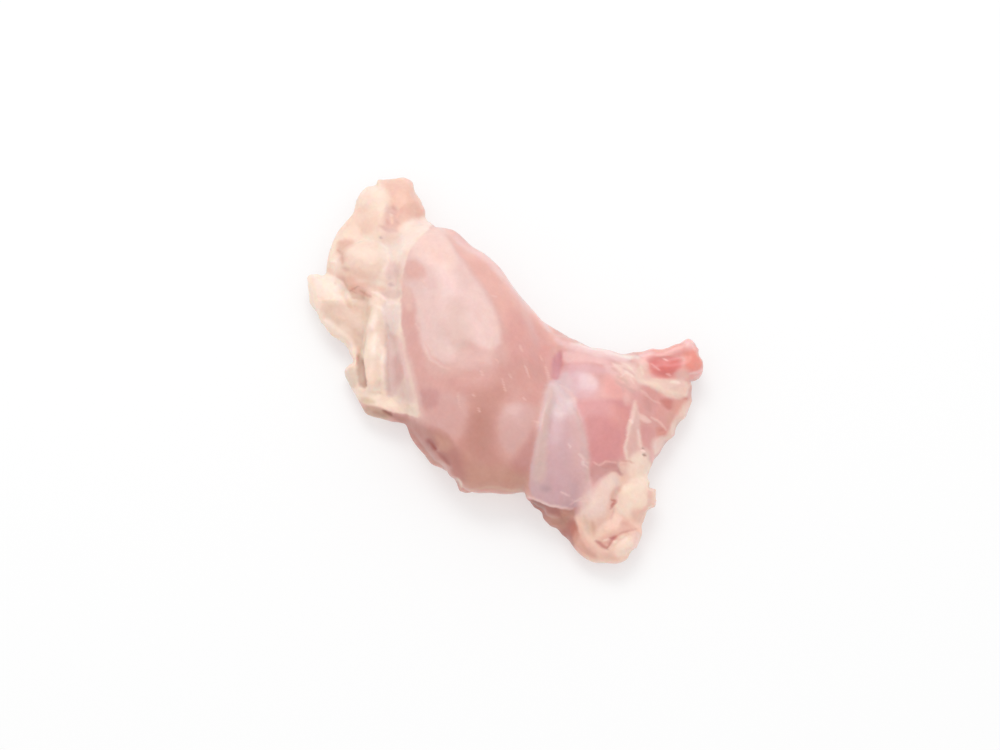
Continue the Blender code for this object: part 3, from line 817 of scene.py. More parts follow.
# %% draw the inner muscle
patch("inner muscle", "inner pink", 1, 0.9, 0, [
    (553, 345), (600, 351), (640, 354), (648, 380), (690, 398), (674, 440), (655, 450),
    (640, 472), (600, 487), (590, 512), (533, 499), (540, 430), (551, 385)])
streak("far pale rim", "far rim", 0.9, 1.6, 0.9, 0.05, [
    (572, 345), (600, 351), (622, 357), (640, 357)])
streak("far soft rim", "rim pink", 0.85, 2.2, 1, 0, [
    (556, 340), (575, 348), (600, 354), (625, 360)])
patch("pink top", "pink top", 0.85, 0.9, 0, [
    (561, 350), (575, 352), (612, 360), (608, 365), (585, 362), (562, 364)])
patch("mauve belt", "mauve belt", 0.85, 0.8, -0.05, [
    (563, 365), (585, 363), (600, 366), (610, 372), (600, 374), (580, 372), (562, 373)])
patch("pink shoulder", "rim pink", 0.75, 1.2, 0, [
    (603, 363), (614, 364), (620, 374), (614, 380), (606, 374)])
# Painted highlight: the lilac film and the pale strokes on it are where the soft box shines on the
# wet muscle.
patch("lilac film highlight", "lilac film highlight", 0.95, 1.1, 0.02, [
    (557, 372), (575, 371), (590, 373), (599, 380), (597, 392), (584, 398), (568, 395),
    (555, 384)])
streak("lilac highlight", "silver pale", 0.5, 3, 1.4, 0, [(566, 376), (570, 389)])
patch("lilac blotch highlight", "rim pink", 0.6, 0.9, 0, [(588, 374), (596, 375), (597, 386), (588, 385)])
patch("lilac low", "lilac low", 0.7, 1.8, 0, [
    (572, 392), (598, 388), (600, 393), (594, 399), (578, 402)])
patch("warm side", "stub pink", 0.8, 1.4, 0, [
    (604, 374), (616, 378), (626, 386), (627, 403), (604, 401), (602, 388)])
patch("red heart", "raw red", 0.97, 1.3, 0, [
    (571, 402), (588, 400), (600, 400), (612, 398), (625, 401), (631, 407), (628, 425),
    (624, 440), (624, 460), (602, 463), (591, 474), (586, 452), (581, 427)])
patch("warm heart", "warm red", 0.7, 1.6, 0, [
    (607, 402), (618, 406), (629, 408), (628, 424), (622, 430), (608, 422)])
streak("red edge", "warm red", 0.6, 1.2, 0.6, 0, [(622, 430), (622, 455)])
# The crimson crease is the red between the muscles, deepened with painted shade.
patch("crimson crease", "crimson", 0.9, 0.8, -0.25, [
    (555, 352), (561, 350), (562, 362), (561, 373), (557, 382), (552, 380), (551, 366)])
spot("pale oval", "oval pink", 0.7, 0.7, 0.08, (627, 399), 3.4, 7)
tell("inner muscle:")

# %% [markdown]
# Thin fat lies here as a web, so single threads of it are laid over pink, with red between.

# %% draw the mottled fat behind the red heart
patch("mottled fat", "pink fat", 0.85, 1, 0.08, [
    (610, 363), (634, 361), (640, 376), (632, 382), (620, 374)])
patch("mottled fat two", "strand", 0.7, 1.2, 0, [(612, 372), (640, 378), (640, 392), (620, 388)])
streak("mottle red", "mottle", 0.8, 0.8, 0.35, -0.1, [(618, 377), (624, 380), (629, 385)])
streak("mottle red two", "mottle", 0.6, 0.8, 0.4, -0.1, [(636, 375), (640, 382)])
streak("mottle white", "seam", 0.7, 0.7, 0.3, 0.1, [(625, 372), (633, 377)])
streaks("web", "seam", 0.4, 0.6, 0.35, 0.08, [
    [(612, 363), (619, 369), (623, 375)],
    [(621, 362), (628, 366), (634, 372)],
])
streak("web three", "seam", 0.4, 0.5, 0.3, 0.06, [(620, 377), (627, 373), (634, 368)])
streak("web four", "seam", 0.5, 0.5, 0.3, 0.08, [(630, 378), (634, 384)])
streaks("web red speck", "mottle", 0.5, 0.6, 0.3, -0.06, [
    [(614, 362), (620, 364)],
    [(622, 368), (628, 370)],
])
streak("web red five", "gap red", 0.5, 0.8, 0.35, -0.08, [(616, 381), (622, 386), (624, 392)])
streaks("web red", "mottle", 0.7, 0.8, 0.35, -0.1, [
    [(612, 368), (618, 372)],
    [(628, 370), (636, 376)],
])
streak("web mauve", "gap red", 0.6, 1.2, 0.5, -0.08, [(622, 384), (634, 392)])
tell("mottled fat:")

# %% draw the low edge of the inner muscle
patch("low red", "dusk", 0.85, 0.8, 0, [
    (589, 464), (618, 460), (626, 470), (616, 476), (604, 478), (592, 486)])
streak("white line", "oval pink", 0.7, 0.5, 0.25, 0.12, [
    (592, 462), (600, 465), (606, 461), (617, 463)])
streak("red bit", "slit red", 0.6, 1.2, 0.5, -0.08, [(603, 467), (616, 466)])
streak("red bit two", "slit red", 0.75, 1.4, 0.5, -0.12, [(619, 468), (622, 476), (621, 481)])
patch("pale fold", "fold pale", 0.85, 0.6, 0.1, [
    (618, 461), (628, 463), (637, 468), (636, 477), (626, 478), (620, 472)])
streak("pale fold dark", "mottle", 0.7, 0.7, 0.3, -0.1, [(621, 465), (628, 465), (632, 469)])
tell("low edge:")

# %% [markdown]
# ## The silver skin
# A band of tough film lies across the inner muscle. It is thick enough to stand up at its
# edges, mauve in the middle and paler on the left, and a thin hem closes it below.

# %% draw what shows under the silver skin
# Painted shade: the lobe under the hem is dark where the silver skin overhangs it, darkest in a
# line right under the hem.
patch("under lobe", "under red shade", 0.97, 0.7, 0, [
    (526, 497), (548, 503), (572, 507), (578, 520), (580, 536), (570, 552), (545, 532),
    (526, 509)])
patch("under lobe light", "low brown shade", 0.75, 1.2, 0.25, [
    (546, 515), (562, 514), (569, 526), (558, 530), (548, 522)])
streak("under lobe shade", "deep under shade", 0.9, 2.2, 0.7, -0.1, [
    (535, 504), (548, 509), (558, 512), (563, 513)])
patch("under lobe mauve", "umber", 0.7, 0.8, 0, [(529, 499), (542, 503), (545, 511), (534, 509)])
streak("under light", "crease red", 0.85, 2.8, 1.2, 0.15, [(565, 512), (574, 517)])
patch("under fold", "under fold", 0.85, 0.9, -0.1, [
    (574, 521), (578, 525), (580, 531), (580, 541), (573, 538), (570, 528)])
streak("under pale bit", "low brown shade", 0.8, 0.9, 0.4, 0.1, [(563, 514), (567, 522)])
tell("under the silver skin:")

# %% draw the silver skin
patch("silver skin", "silver", 0.97, 0.4, 0.2, [
    (549, 381), (558, 381), (566, 388), (572, 396), (574, 410), (579, 420), (583, 433),
    (586, 450), (588, 470), (592, 488), (590, 504), (572, 508), (560, 507), (548, 504),
    (529, 497), (530, 470), (534, 450), (540, 420), (546, 395)])
patch("silver top", "silver pale", 0.92, 2, 0, [
    (549, 382), (558, 382), (566, 388), (573, 398), (576, 409), (572, 418), (551, 419),
    (544, 405)])
patch("silver left", "silver edge", 0.92, 1.2, 0.03, [
    (548, 388), (555, 390), (551, 410), (548, 430), (547, 450), (547, 482), (531, 484),
    (534, 452), (542, 420), (547, 398)])
streak("silver left rim", "silver edge", 0.5, 1, 0.6, 0.08, [
    (547, 404), (543, 418), (540, 436), (537, 456), (535, 478)])
patch("silver low", "silver", 0.8, 1.8, 0, [
    (549, 462), (580, 464), (584, 490), (572, 504), (547, 498)])
patch("silver right light", "silver side", 0.85, 2.4, 0, [
    (566, 412), (578, 416), (584, 434), (588, 470), (578, 482), (568, 470), (572, 440)])
spot("silver spot", "silver dark", 0.8, 1, 0, (546, 489), 6, 3.6)
patch("silver low right", "silver side", 0.85, 1, 0, [
    (581, 470), (589, 468), (593, 488), (590, 506), (574, 508), (578, 490)])
streak("silver right", "silver edge", 0.5, 1.8, 0.9, 0.04, [
    (574, 410), (580, 424), (584, 440), (586, 456), (588, 480)])
streak("silver top rim", "hem", 0.55, 0.9, 0.45, 0.08, [
    (556, 384), (566, 389), (573, 397), (575, 406)])
streak("silver hem", "hem", 0.9, 0.9, 0.4, 0.2, [
    (529, 497), (540, 501), (550, 505), (561, 507), (572, 508)])
streak("silver glint", "hem", 0.8, 0.5, 0.25, 0.12, [(560, 492), (569, 496)])
streak("silver glint two", "hem", 0.7, 0.5, 0.25, 0.12, [(569, 504), (576, 500), (586, 497)])
streak("silver glint three", "hem", 0.6, 0.5, 0.25, 0.1, [(570, 499), (580, 502), (588, 501)])
streak("silver curl", "hem", 0.8, 0.8, 0.35, 0.2, [(579, 454), (584, 460), (582, 465), (587, 468)])
streak("silver curl two", "hem", 0.7, 0.6, 0.3, 0.15, [(581, 462), (588, 463)])
streak("silver nick", "hem", 0.8, 0.6, 0.25, 0.12, [(569, 444), (571, 448)])
tell("silver skin:")

# %% [markdown]
# ## The knee end
# Soft lobes again, warmer than at the hip, with a mouth-like crease at the tip.

# %% draw the fat of the knee
patch("knee fat", "peach fat", 1, 0.6, 0, [
    (600, 484), (606, 478), (614, 470), (622, 478), (634, 466), (650, 456), (654, 488),
    (662, 490), (660, 508), (646, 516), (644, 542), (627, 568), (598, 568), (574, 548),
    (580, 538), (578, 526), (574, 516), (584, 512), (592, 500)])
patch("knee pale lobe", "knee pale", 0.85, 1.1, 0, [
    (592, 490), (601, 479), (613, 470), (622, 482), (613, 492), (609, 510), (596, 516),
    (578, 514), (588, 506)])
streak("knee pale left", "knee pale", 0.7, 2.6, 1.2, 0, [(590, 492), (585, 506), (580, 514)])
patch("knee cream lobe", "cream", 0.92, 0.9, 0.08, [
    (618, 492), (626, 484), (642, 484), (651, 492), (648, 508), (630, 519), (618, 512),
    (615, 501)])
patch("knob", "peach fat", 0.85, 0.6, 0, [(647, 491), (657, 490), (658, 507), (647, 508)])
streak("knob low", "orange fat", 0.7, 1.4, 0.7, 0, [(650, 506), (642, 510)])
streak("knob shade", "slit coral", 0.6, 1.2, 0.5, -0.06, [(649, 491), (650, 499), (649, 505)])
patch("orange dip", "orange fat", 0.85, 1, -0.1, [(630, 509), (646, 509), (645, 524), (633, 523)])
streak("crimson slit", "slit coral", 0.7, 1.9, 0.8, -0.08, [
    (621, 487), (614, 495), (612, 503), (609, 511)])
streak("crimson bead", "crimson red", 0.8, 0.7, 0.3, -0.08, [(612, 500), (616, 501), (612, 506)])
streak("crimson bead two", "slit red", 0.8, 0.6, 0.25, -0.06, [(615, 504), (611, 509)])
# Painted highlight in the knee slit.
streak("slit highlight", "pink fat", 0.7, 0.8, 0.35, 0.1, [(619, 495), (617, 499)])
streak("yellow ridge", "sheet tan", 0.85, 1.7, 0.6, 0.15, [(585, 516), (587, 524), (589, 533)])
patch("tan hollow", "tan hollow", 0.85, 0.9, -0.06, [
    (591, 519), (595, 521), (598, 529), (594, 536), (590, 530)])
patch("pink hollow", "slit coral", 0.6, 1.2, -0.04, [
    (593, 514), (606, 513), (606, 521), (600, 529), (595, 524)])
patch("knee upper light", "knee pale", 0.7, 1.6, 0, [
    (580, 510), (606, 508), (606, 517), (588, 520)])
patch("knee middle", "knee mid", 0.8, 1.2, 0, [
    (606, 516), (626, 516), (632, 526), (612, 534), (600, 534)])
patch("knee inner lobe", "knee mid", 0.8, 0.8, 0.1, [
    (604, 522), (611, 520), (614, 526), (612, 533), (605, 534), (602, 528)])
streak("knee inner ridge", "slit coral", 0.7, 0.8, 0.35, -0.06, [
    (615, 508), (613, 514), (611, 520)])
tell("knee lobes:")

# %% [markdown]
# The lobes close on each other in a dark line, painted shade down in the crease, with a few
# bright beads along it.

# %% draw the mouth of the knee
patch("mouth", "mouth coral", 0.75, 1, -0.05, [
    (600, 538), (612, 532), (624, 530), (616, 538), (611, 547), (602, 545)])
patch("mouth upper", "mouth coral", 0.75, 0.8, -0.05, [
    (620, 522), (626, 520), (632, 525), (633, 530), (622, 532)])
# Painted shade: the mouth lines are dark where the lobes close.
streak("mouth line", "mouth red", 0.95, 1.1, 0.4, -0.18, [(596, 541), (601, 545), (607, 549)])
streak("mouth line two", "mouth red", 0.85, 0.8, 0.35, -0.12, [(607, 548), (611, 541), (615, 536)])
streak("mouth line three", "mouth red", 0.7, 0.6, 0.3, -0.08, [(615, 536), (624, 532), (635, 529)])
streak("crimson spot", "crimson red", 0.75, 1.2, 0.4, -0.08, [(610, 538), (614, 538), (616, 536)])
streaks("mouth bead", "pale fat", 0.6, 0.7, 0.3, 0.12, [
    [(603, 541), (608, 539)],
    [(620, 538), (624, 536)],
])
streak("mouth bead three", "pale fat", 0.7, 0.9, 0.35, 0.12, [(613, 544), (616, 541)])
streak("mouth side", "orange fat", 0.75, 1.6, 0.8, -0.03, [(616, 534), (624, 527), (634, 529)])
streak("knee bottom", "orange fat", 0.8, 2.6, 1.2, 0, [(582, 544), (600, 556), (616, 559)])
patch("knee low pale", "lobe cream", 0.85, 0.9, 0.06, [
    (616, 545), (626, 535), (637, 533), (639, 545), (626, 558), (613, 556)])
streak("knee pink", "pink fat", 0.8, 2, 0.9, 0, [(635, 534), (637, 546)])
patch("knee left side", "crease red", 0.8, 1, 0, [
    (574, 530), (582, 534), (588, 546), (600, 560), (584, 556), (572, 544)])
streak("knee left light", "orange fat", 0.7, 1, 0.5, 0.06, [(580, 522), (582, 536), (588, 546)])
tell("mouth:")

# %% [markdown]
# A thin muscle lies beside the knee fat. White strands cross it, and a fatty strip parts it
# from the inner muscle.

# %% draw the thin muscle and the white strands over it
patch("thin muscle", "thin pink", 0.9, 0.8, 0, [
    (638, 386), (655, 388), (664, 397), (690, 398), (682, 420), (672, 438), (655, 438),
    (650, 449), (641, 449), (637, 430)])
patch("thin shade", "raw red", 0.6, 1.6, 0, [
    (641, 424), (652, 426), (652, 438), (648, 446), (642, 442)])
patch("thin red", "deep red", 0.8, 0.7, -0.12, [
    (658, 399), (668, 398), (676, 402), (677, 408), (671, 411), (664, 407)])
patch("thin warm side", "mouth coral", 0.8, 0.8, 0, [
    (674, 398), (688, 397), (684, 410), (676, 418), (672, 410)])
patch("thin orange", "thin orange", 0.75, 0.8, -0.05, [
    (654, 427), (664, 428), (667, 436), (656, 437)])
streak("thin orange dot", "deep red", 0.35, 0.8, 0.3, -0.05, [(659, 431), (662, 431)])
streak("thin tan", "crease red", 0.6, 2, 1, 0, [(672, 412), (668, 424)])
streak("thin pale", "oval pink", 0.6, 1, 0.4, 0.1, [(641, 391), (648, 397)])
streak("thin deep", "wine", 0.35, 2.4, 1, 0, [(646, 398), (650, 410)])
patch("strand one", "strand", 0.85, 0.4, 0.15, [
    (635, 411), (640, 414), (648, 418), (653, 423), (646, 423), (638, 420)])
streak("strand two", "strand", 0.75, 0.6, 0.3, 0.15, [(651, 417), (660, 423), (666, 430)])
streak("strand three", "strand", 0.45, 0.5, 0.3, 0.08, [(645, 396), (653, 400), (660, 403)])
streak("strand four", "strand", 0.5, 0.5, 0.25, 0.1, [(640, 416), (634, 408)])
tell("thin muscle:")

# %% draw the strip beside the thin muscle
patch("knee strip", "strip tan", 0.92, 0.6, 0.06, [
    (633, 406), (638, 404), (640, 420), (640, 440), (643, 448), (651, 450), (650, 460),
    (646, 472), (628, 470), (624, 452), (625, 438), (629, 424)])
patch("strip hollow", "gap red", 0.25, 1.4, -0.06, [
    (633, 426), (637, 430), (638, 446), (639, 458), (633, 460), (631, 444)])
streak("strip top", "seam side", 0.75, 1.2, 0.6, 0.06, [
    (635, 402), (634, 410), (632, 420), (627, 434)])
streak("strip bead", "seam", 0.8, 0.9, 0.4, 0.12, [(630, 420), (633, 423)])
streak("strip edge", "seam side", 0.8, 1, 0.4, 0.08, [(627, 434), (625, 448), (628, 462)])
streak("strip edge two", "seam side", 0.7, 0.9, 0.4, 0.08, [(638, 430), (639, 444), (643, 450)])
patch("strip low", "cream", 0.9, 1.2, 0.05, [
    (628, 458), (638, 450), (650, 456), (652, 488), (634, 488), (628, 476)])
# Painted shade: the two holes in the strip are dark down inside.
streak("hole", "umber", 0.7, 0.6, 0.3, -0.15, [(643, 455), (646, 456)])
streak("hole two", "umber", 0.6, 0.45, 0.25, -0.15, [(642, 448), (644, 450)])
streak("hole bead", "pale fat", 0.9, 0.7, 0.3, 0.15, [(641, 451), (645, 452)])
streak("pink curls", "crease red", 0.6, 0.7, 0.35, -0.08, [(622, 461), (628, 461), (633, 463)])
patch("knee rim", "tendon", 0.92, 0.7, 0.08, [
    (688, 400), (694, 400), (686, 420), (672, 440), (664, 442), (667, 433), (674, 420),
    (680, 410)])
patch("low corner", "seam side", 0.85, 0.8, 0, [
    (653, 438), (668, 436), (666, 446), (656, 456), (652, 450)])
streak("corner pink", "oval pink", 0.7, 1.2, 0.6, 0, [(652, 452), (653, 462)])
streak("rim red", "deep red", 0.6, 0.9, 0.4, -0.06, [(682, 397), (687, 399)])
tell("strip:")

# %% [markdown]
# ## The cut stub
# Where the meat was cut across it is coral red and a little hollow, and a cream tendon wraps
# under it.

# %% draw the stub
patch("cut stub", "stub pink", 1, 0.5, 0, [
    (636, 350), (664, 342), (688, 334), (710, 360), (708, 374), (688, 382), (660, 384),
    (645, 374), (642, 360)])
streak("stub top skin", "stub skin", 0.8, 1.2, 0.5, 0.05, [(640, 354), (652, 352)])
patch("stub near skin", "stub skin", 0.4, 1.2, 0, [(637, 352), (650, 348), (655, 354), (645, 360)])
# Painted highlights: the pale ridge along the top of the cut and the small pale dots round its
# hollow are glints of light.
streak("stub ridge highlight", "stub ridge highlight", 0.8, 1.6, 0.7, 0.1, [(658, 354), (668, 352), (682, 348)])
streak("stub corner", "stub skin", 0.85, 2.6, 1, 0, [(686, 344), (694, 349)])
streak("stub top line", "stub pink", 0.6, 1, 0.5, 0, [(654, 350), (668, 347), (680, 343)])
patch("stub hollow", "cut red", 0.9, 1.2, -0.08, [
    (645, 361), (654, 357), (662, 356), (679, 356), (685, 360), (681, 367), (676, 372),
    (670, 378), (660, 378), (650, 371)])
patch("stub heart", "cut deep", 0.6, 1.4, -0.05, [
    (651, 362), (660, 358), (676, 359), (674, 367), (664, 371), (654, 367)])
patch("stub low pink", "stub pink", 0.5, 1, 0, [
    (650, 374), (658, 379), (672, 380), (680, 374), (682, 380), (664, 384), (654, 382)])
streak("stub glint", "stub ridge highlight", 0.7, 0.6, 0.3, 0.12, [(651, 364), (659, 370)])
streaks("stub glint dot", "stub ridge highlight", 0.8, 0.5, 0.25, 0.1, [
    [(645, 362), (647, 364)],
    [(664, 358), (667, 360)],
    [(666, 374), (670, 376)],
])
streak("stub glint dot four", "seam", 0.8, 0.5, 0.25, 0.1, [(683, 357), (684, 361)])
patch("stub end", "cut orange", 0.9, 1.4, 0, [
    (682, 352), (688, 349), (694, 349), (704, 359), (704, 368), (695, 372), (687, 369),
    (683, 361)])
streak("stub end light", "stub skin", 0.7, 1, 0.5, 0.05, [(690, 373), (697, 373), (703, 370)])
patch("stub low", "strand", 0.85, 1, 0, [(675, 371), (686, 368), (691, 378), (676, 382)])
streak("stub step", "stub pink", 0.5, 1.4, 0.7, 0, [(682, 356), (684, 366)])
tell("stub:")

# %% [markdown]
# The tendon is cream and thick. It goes on last, because it wraps round the foot of the stub.

# %% draw the tendon under the stub
patch("tendon bed", "tendon", 0.95, 0.6, 0.05, [
    (634, 370), (640, 366), (646, 376), (660, 380), (690, 379), (691, 393), (683, 399),
    (668, 398), (658, 391), (648, 385), (636, 383)])
patch("tendon side", "strand", 0.85, 0.7, 0, [
    (640, 356), (647, 360), (648, 370), (653, 378), (644, 377), (638, 368)])
streak("root light", "strand", 0.7, 2.2, 1, 0.03, [(635, 358), (637, 367)])
patch("tendon tan", "tendon", 0.75, 0.9, -0.06, [(660, 380), (688, 379), (687, 389), (666, 388)])
streak("tendon band", "cream", 0.7, 1.2, 0.6, 0.15, [
    (642, 380), (654, 384), (664, 390), (678, 394)])
# Painted glint on the tendon.
streak("tendon glint", "seam", 0.9, 0.9, 0.35, 0.1, [(671, 382), (680, 383)])
streak("blob light", "cream", 0.6, 0.9, 0.4, 0.08, [(640, 366), (643, 374)])
tell("tendon:")

# %% [markdown]
# Thin pale strands lie on the muscles, each raised a little; their paleness is painted glint
# of light on the wet surface. They are alike, so one call lays all.

# %% draw the pale strands and their painted glints on the muscles
streaks("fibre", "strand", 0.6, 0.45, 0.22, 0.1, [
    [(520, 345), (523, 351)],
    [(541, 356), (543, 361)],
    [(545, 366), (547, 372), (549, 380)],
    [(524, 365), (529, 378)],
    [(496, 358), (499, 363)],
    [(502, 379), (506, 392)],
    [(509, 374), (512, 378)],
    [(458, 393), (459, 400), (460, 408)],
    [(473, 393), (475, 397)],
    [(523, 397), (526, 400)],
    [(480, 371), (483, 375)],
    [(478, 408), (480, 412)],
    [(532, 421), (539, 422)],
    [(416, 324), (420, 332)],
    [(492, 296), (497, 297)],
    [(420, 280), (426, 285)],
])
tell("fibres:")

# %% [markdown]
# The far side turns away from the camera, so the strokes run down it as stripes. There the
# drawing is blurred along the surface instead, so that each tissue carries on over the edge and
# fades into the next one, with a few pale veils of film over it.

# %% the far side
FAR_ROUNDS = 240
FULLY_TURNED = 0.2
VEIL_SPAN = 0.0075
VEIL_CONTRAST = 1.8
VEIL_BARE = 0.1
VEIL_COVER = 0.5
VEIL_MM = 0.12

turned_away = np.clip(-normals @ np.array(towards_camera) / FULLY_TURNED, 0, 1)[:, None]
for _ in range(FAR_ROUNDS):
    layers += turned_away * (around(layers) - layers)
veil = np.clip(VEIL_CONTRAST * field(VEIL_SPAN, 3, 21.7) - VEIL_BARE, 0, 1)[:, None]
pale_film = carried(*TISSUES["film"][:3], fat=0.2, film=0.9)
layers[:, :5] += VEIL_COVER * veil * turned_away * (pale_film - layers[:, :5])
layers[:, 5] += VEIL_MM * (veil * turned_away)[:, 0]
print("points that turn away", int((turned_away > 0.5).sum()))

# %% [markdown]
# The underside was never drawn: it is a cut face. It gets muscle with streaks of fat, faded
# in by how far the surface faces down, so that no stroke from above shows through.

# %% the underside
DOWN_FROM = 0.25
DOWN_FADE = 0.5
MARBLE_SPAN = 0.0090
MARBLE_CONTRAST = 1.6
MARBLE_MORE = 0.05

facing_down = np.clip((-normals[:, 2] - DOWN_FROM) / DOWN_FADE, 0, 1)[:, None]
marbling = np.clip(MARBLE_CONTRAST * field(MARBLE_SPAN, 3, 11.3) + MARBLE_MORE, 0, 1)[:, None]
cut_meat = carried(*TISSUES["muscle"][:3], fat=0.1, film=0.1)
cut_fat = carried(*TISSUES["cream"][:3], fat=0.9, film=0.2)
below = cut_meat + marbling * (cut_fat - cut_meat)
layers[:, :5] += facing_down * (below - layers[:, :5])
layers[:, 5] *= 1 - facing_down[:, 0]
print("points that face down", int((facing_down > 0.5).sum()))

# %% [markdown]
# ## Shaping the surface
# The strokes' heights are now applied along the surface's own direction. Fat also gets small
# lumps, and muscle only a slow swell. The flat underside is kept flat.

# %% raise the strokes and the lumps
LUMP_SPAN = 0.0034
LUMP_MM = 0.16
BEAD_SPAN = 0.0013
BEAD_MM = 0.06
SWELL_SPAN = 0.0060
SWELL_MM = 0.05
FLAT_BELOW = 0.0002
RIM_FADE = 0.0012

fat_share = layers[:, 3]
lumps = LUMP_MM * field(LUMP_SPAN, 2, 2.2) + BEAD_MM * field(BEAD_SPAN, 1, 6.1)
swell = SWELL_MM * field(SWELL_SPAN, 1, 4.4)
height = layers[:, 5] + fat_share * lumps + (1 - fat_share) * swell
off_floor = np.clip((points[:, 2] - FLAT_BELOW) / RIM_FADE, 0, 1)
points += normals * (height * off_floor * MM)[:, None]
show_points()
print("raised by", round(float(height.min()), 2), "to", round(float(height.max()), 2), "mm")

# %% [markdown]
# Torn and cut meat has corners and notches that rounding took away. A few of them are pulled
# out or pushed in again, each with a soft reach, as a thumb would do it.

# %% pull the corners
def grab(name, middle, reach, right, up):
    """Moves the surface near a place of the picture; all its numbers are picture points."""
    gap = np.linalg.norm(in_picture(points) - middle, axis=1) / reach
    share = np.clip(1 - gap * gap, 0, 1) ** 2 * off_floor
    shift = (np.array(view_across) * right + np.array(view_up) * up) * POINT_MM * MM
    points[:] += share[:, None] * shift
    print("pulled", name, "at", int((share > 0).sum()), "points")


grab("top lobe, right side in", (421, 191), 15, -4.5, 0)
grab("top lobe, flat top", (386, 181), 12, 0, 2.2)
grab("step beside the flat top", (373, 185), 8, 1.5, -2)
grab("foot of the top lobe out", (423, 213), 9, 3, 1)
grab("crest in", (468, 242), 20, -1.5, -2)
grab("spike side in", (305, 291), 15, 3, 0)
grab("spike corner out", (308, 276), 7, -2, 2)
grab("notch over the spike", (322, 274), 7, 0, -2.5)
grab("sheet edge in", (340, 344), 13, 1.5, 2)
grab("slot notch", (349, 361), 8, 4, 0)
grab("flat top corner", (380, 181), 5, -2, 1.5)
grab("under lobe in", (540, 512), 8, 2.5, 1.5)
grab("under lobe in two", (556, 531), 8, 1, 1.5)
grab("knob top in", (652, 486), 5, -3, -1)
grab("knee low right in", (632, 553), 9, -2, 1.5)
grab("thin rim in", (682, 428), 13, -4, 2.5)
grab("stub end flat", (702, 355), 7, -2.5, 0)
grab("flank in", (440, 471), 13, 1, 3)
grab("flank corner in", (453, 485), 10, 3.5, 1)
grab("front edge up", (492, 498), 24, 0, 4)
grab("stub back in", (662, 347), 16, 0, -3.2)
grab("stub corner up", (688, 342), 9, 0, 4)
grab("stub end in", (700, 350), 9, -3, -1)
grab("tendon end in", (694, 393), 9, -2.5, 0)
grab("thin edge in", (667, 446), 14, -2, 1.5)
grab("knee knob out", (655, 492), 8, 3, 1)
grab("knee knob under in", (654, 512), 8, -4, 2)
grab("knee side out", (640, 532), 12, 1.5, 0)
grab("knob corner in", (657, 504), 4, -1.5, 1)
grab("stub root down", (643, 349), 11, 0, -3)
grab("stub side out", (698, 352), 7, 2, 1)
grab("knee side notch", (647, 516), 7, -2, 0)
grab("knee upper side in", (652, 479), 7, -1.5, 0)
show_points()

# %% [markdown]
# The drawing is stored on the points, where a material can read it: the colour as one
# attribute, and fat and film as the red and green of another. Under these lights the finish
# comes out a little brighter than the colours as written, so they are stored a little darker.

# %% store the drawing
LIGHT_SHARE = 0.93

colours = np.ones((len(points), 4))
colours[:, :3] = layers[:, :3] * LIGHT_SHARE
kinds = np.ones((len(points), 4))
kinds[:, :2] = layers[:, 3:5]
for name, values in (("flesh", colours), ("tissue", kinds)):
    stored = thigh.data.attributes.new(name, "FLOAT_COLOR", "POINT")
    stored.data.foreach_set("color", values.astype(np.float32).ravel())
print("stored", [a.name for a in thigh.data.attributes if a.name in ("flesh", "tissue")])

# %% [markdown]
# ## The finish
# Three small node groups are built first and then placed in the material with its own values.
# Mottle makes a colour uneven, once in broad clouds and once in fine ones, grain gives muscle
# its fibres, and pearl gives fat its tiny lobes.

# %% node helpers
def new_group(name, inputs, outputs):
    """An empty node group with named sockets, and its first and last node."""
    group = bpy.data.node_groups.new(name, "ShaderNodeTree")
    for label, kind, value in inputs:
        made = group.interface.new_socket(label, in_out="INPUT", socket_type=kind)
        if value is not None:
            made.default_value = value
    for label, kind in outputs:
        group.interface.new_socket(label, in_out="OUTPUT", socket_type=kind)
    return group, group.nodes.new("NodeGroupInput"), group.nodes.new("NodeGroupOutput")


def add(tree, kind, settings=None, **inputs):
    """A new node; settings are its own choices, inputs are sockets by name or by i and number."""
    made = tree.nodes.new(kind)
    for name, value in (settings or {}).items():
        setattr(made, name, value)
    for label, value in inputs.items():
        socket = made.inputs[int(label[1:])] if label[1:].isdigit() else made.inputs[label]
        if isinstance(value, bpy.types.NodeSocket):
            tree.links.new(value, socket)
        else:
            socket.default_value = value
    return made


def maths(tree, operation, first, second):
    return add(tree, "ShaderNodeMath", {"operation": operation}, i0=first, i1=second).outputs[0]


def ramp(tree, value, low, high, to_low, to_high):
    """Carries a value smoothly from one range over to another."""
    made = add(tree, "ShaderNodeMapRange", {"interpolation_type": "SMOOTHSTEP"}, Value=value)
    for label, number in zip(("From Min", "From Max", "To Min", "To Max"),
                             (low, high, to_low, to_high)):
        made.inputs[label].default_value = number
    return made.outputs["Result"]


def times_colour(tree, first, second):
    """Multiplies two colours; the colours of a mix node are its sockets 6, 7 and output 2."""
    made = add(tree, "ShaderNodeMix", {"data_type": "RGBA", "blend_type": "MULTIPLY"},
               i0=1.0, i6=first, i7=second)
    return made.outputs[2]


def noise_at(tree, place, scale, detail, roughness):
    return add(tree, "ShaderNodeTexNoise", None, Vector=place, Scale=scale, Detail=detail,
               Roughness=roughness).outputs["Fac"]


# %% mottle
NOISE_LOW = 0.3
NOISE_HIGH = 0.7
RED_SHARE = 0.6

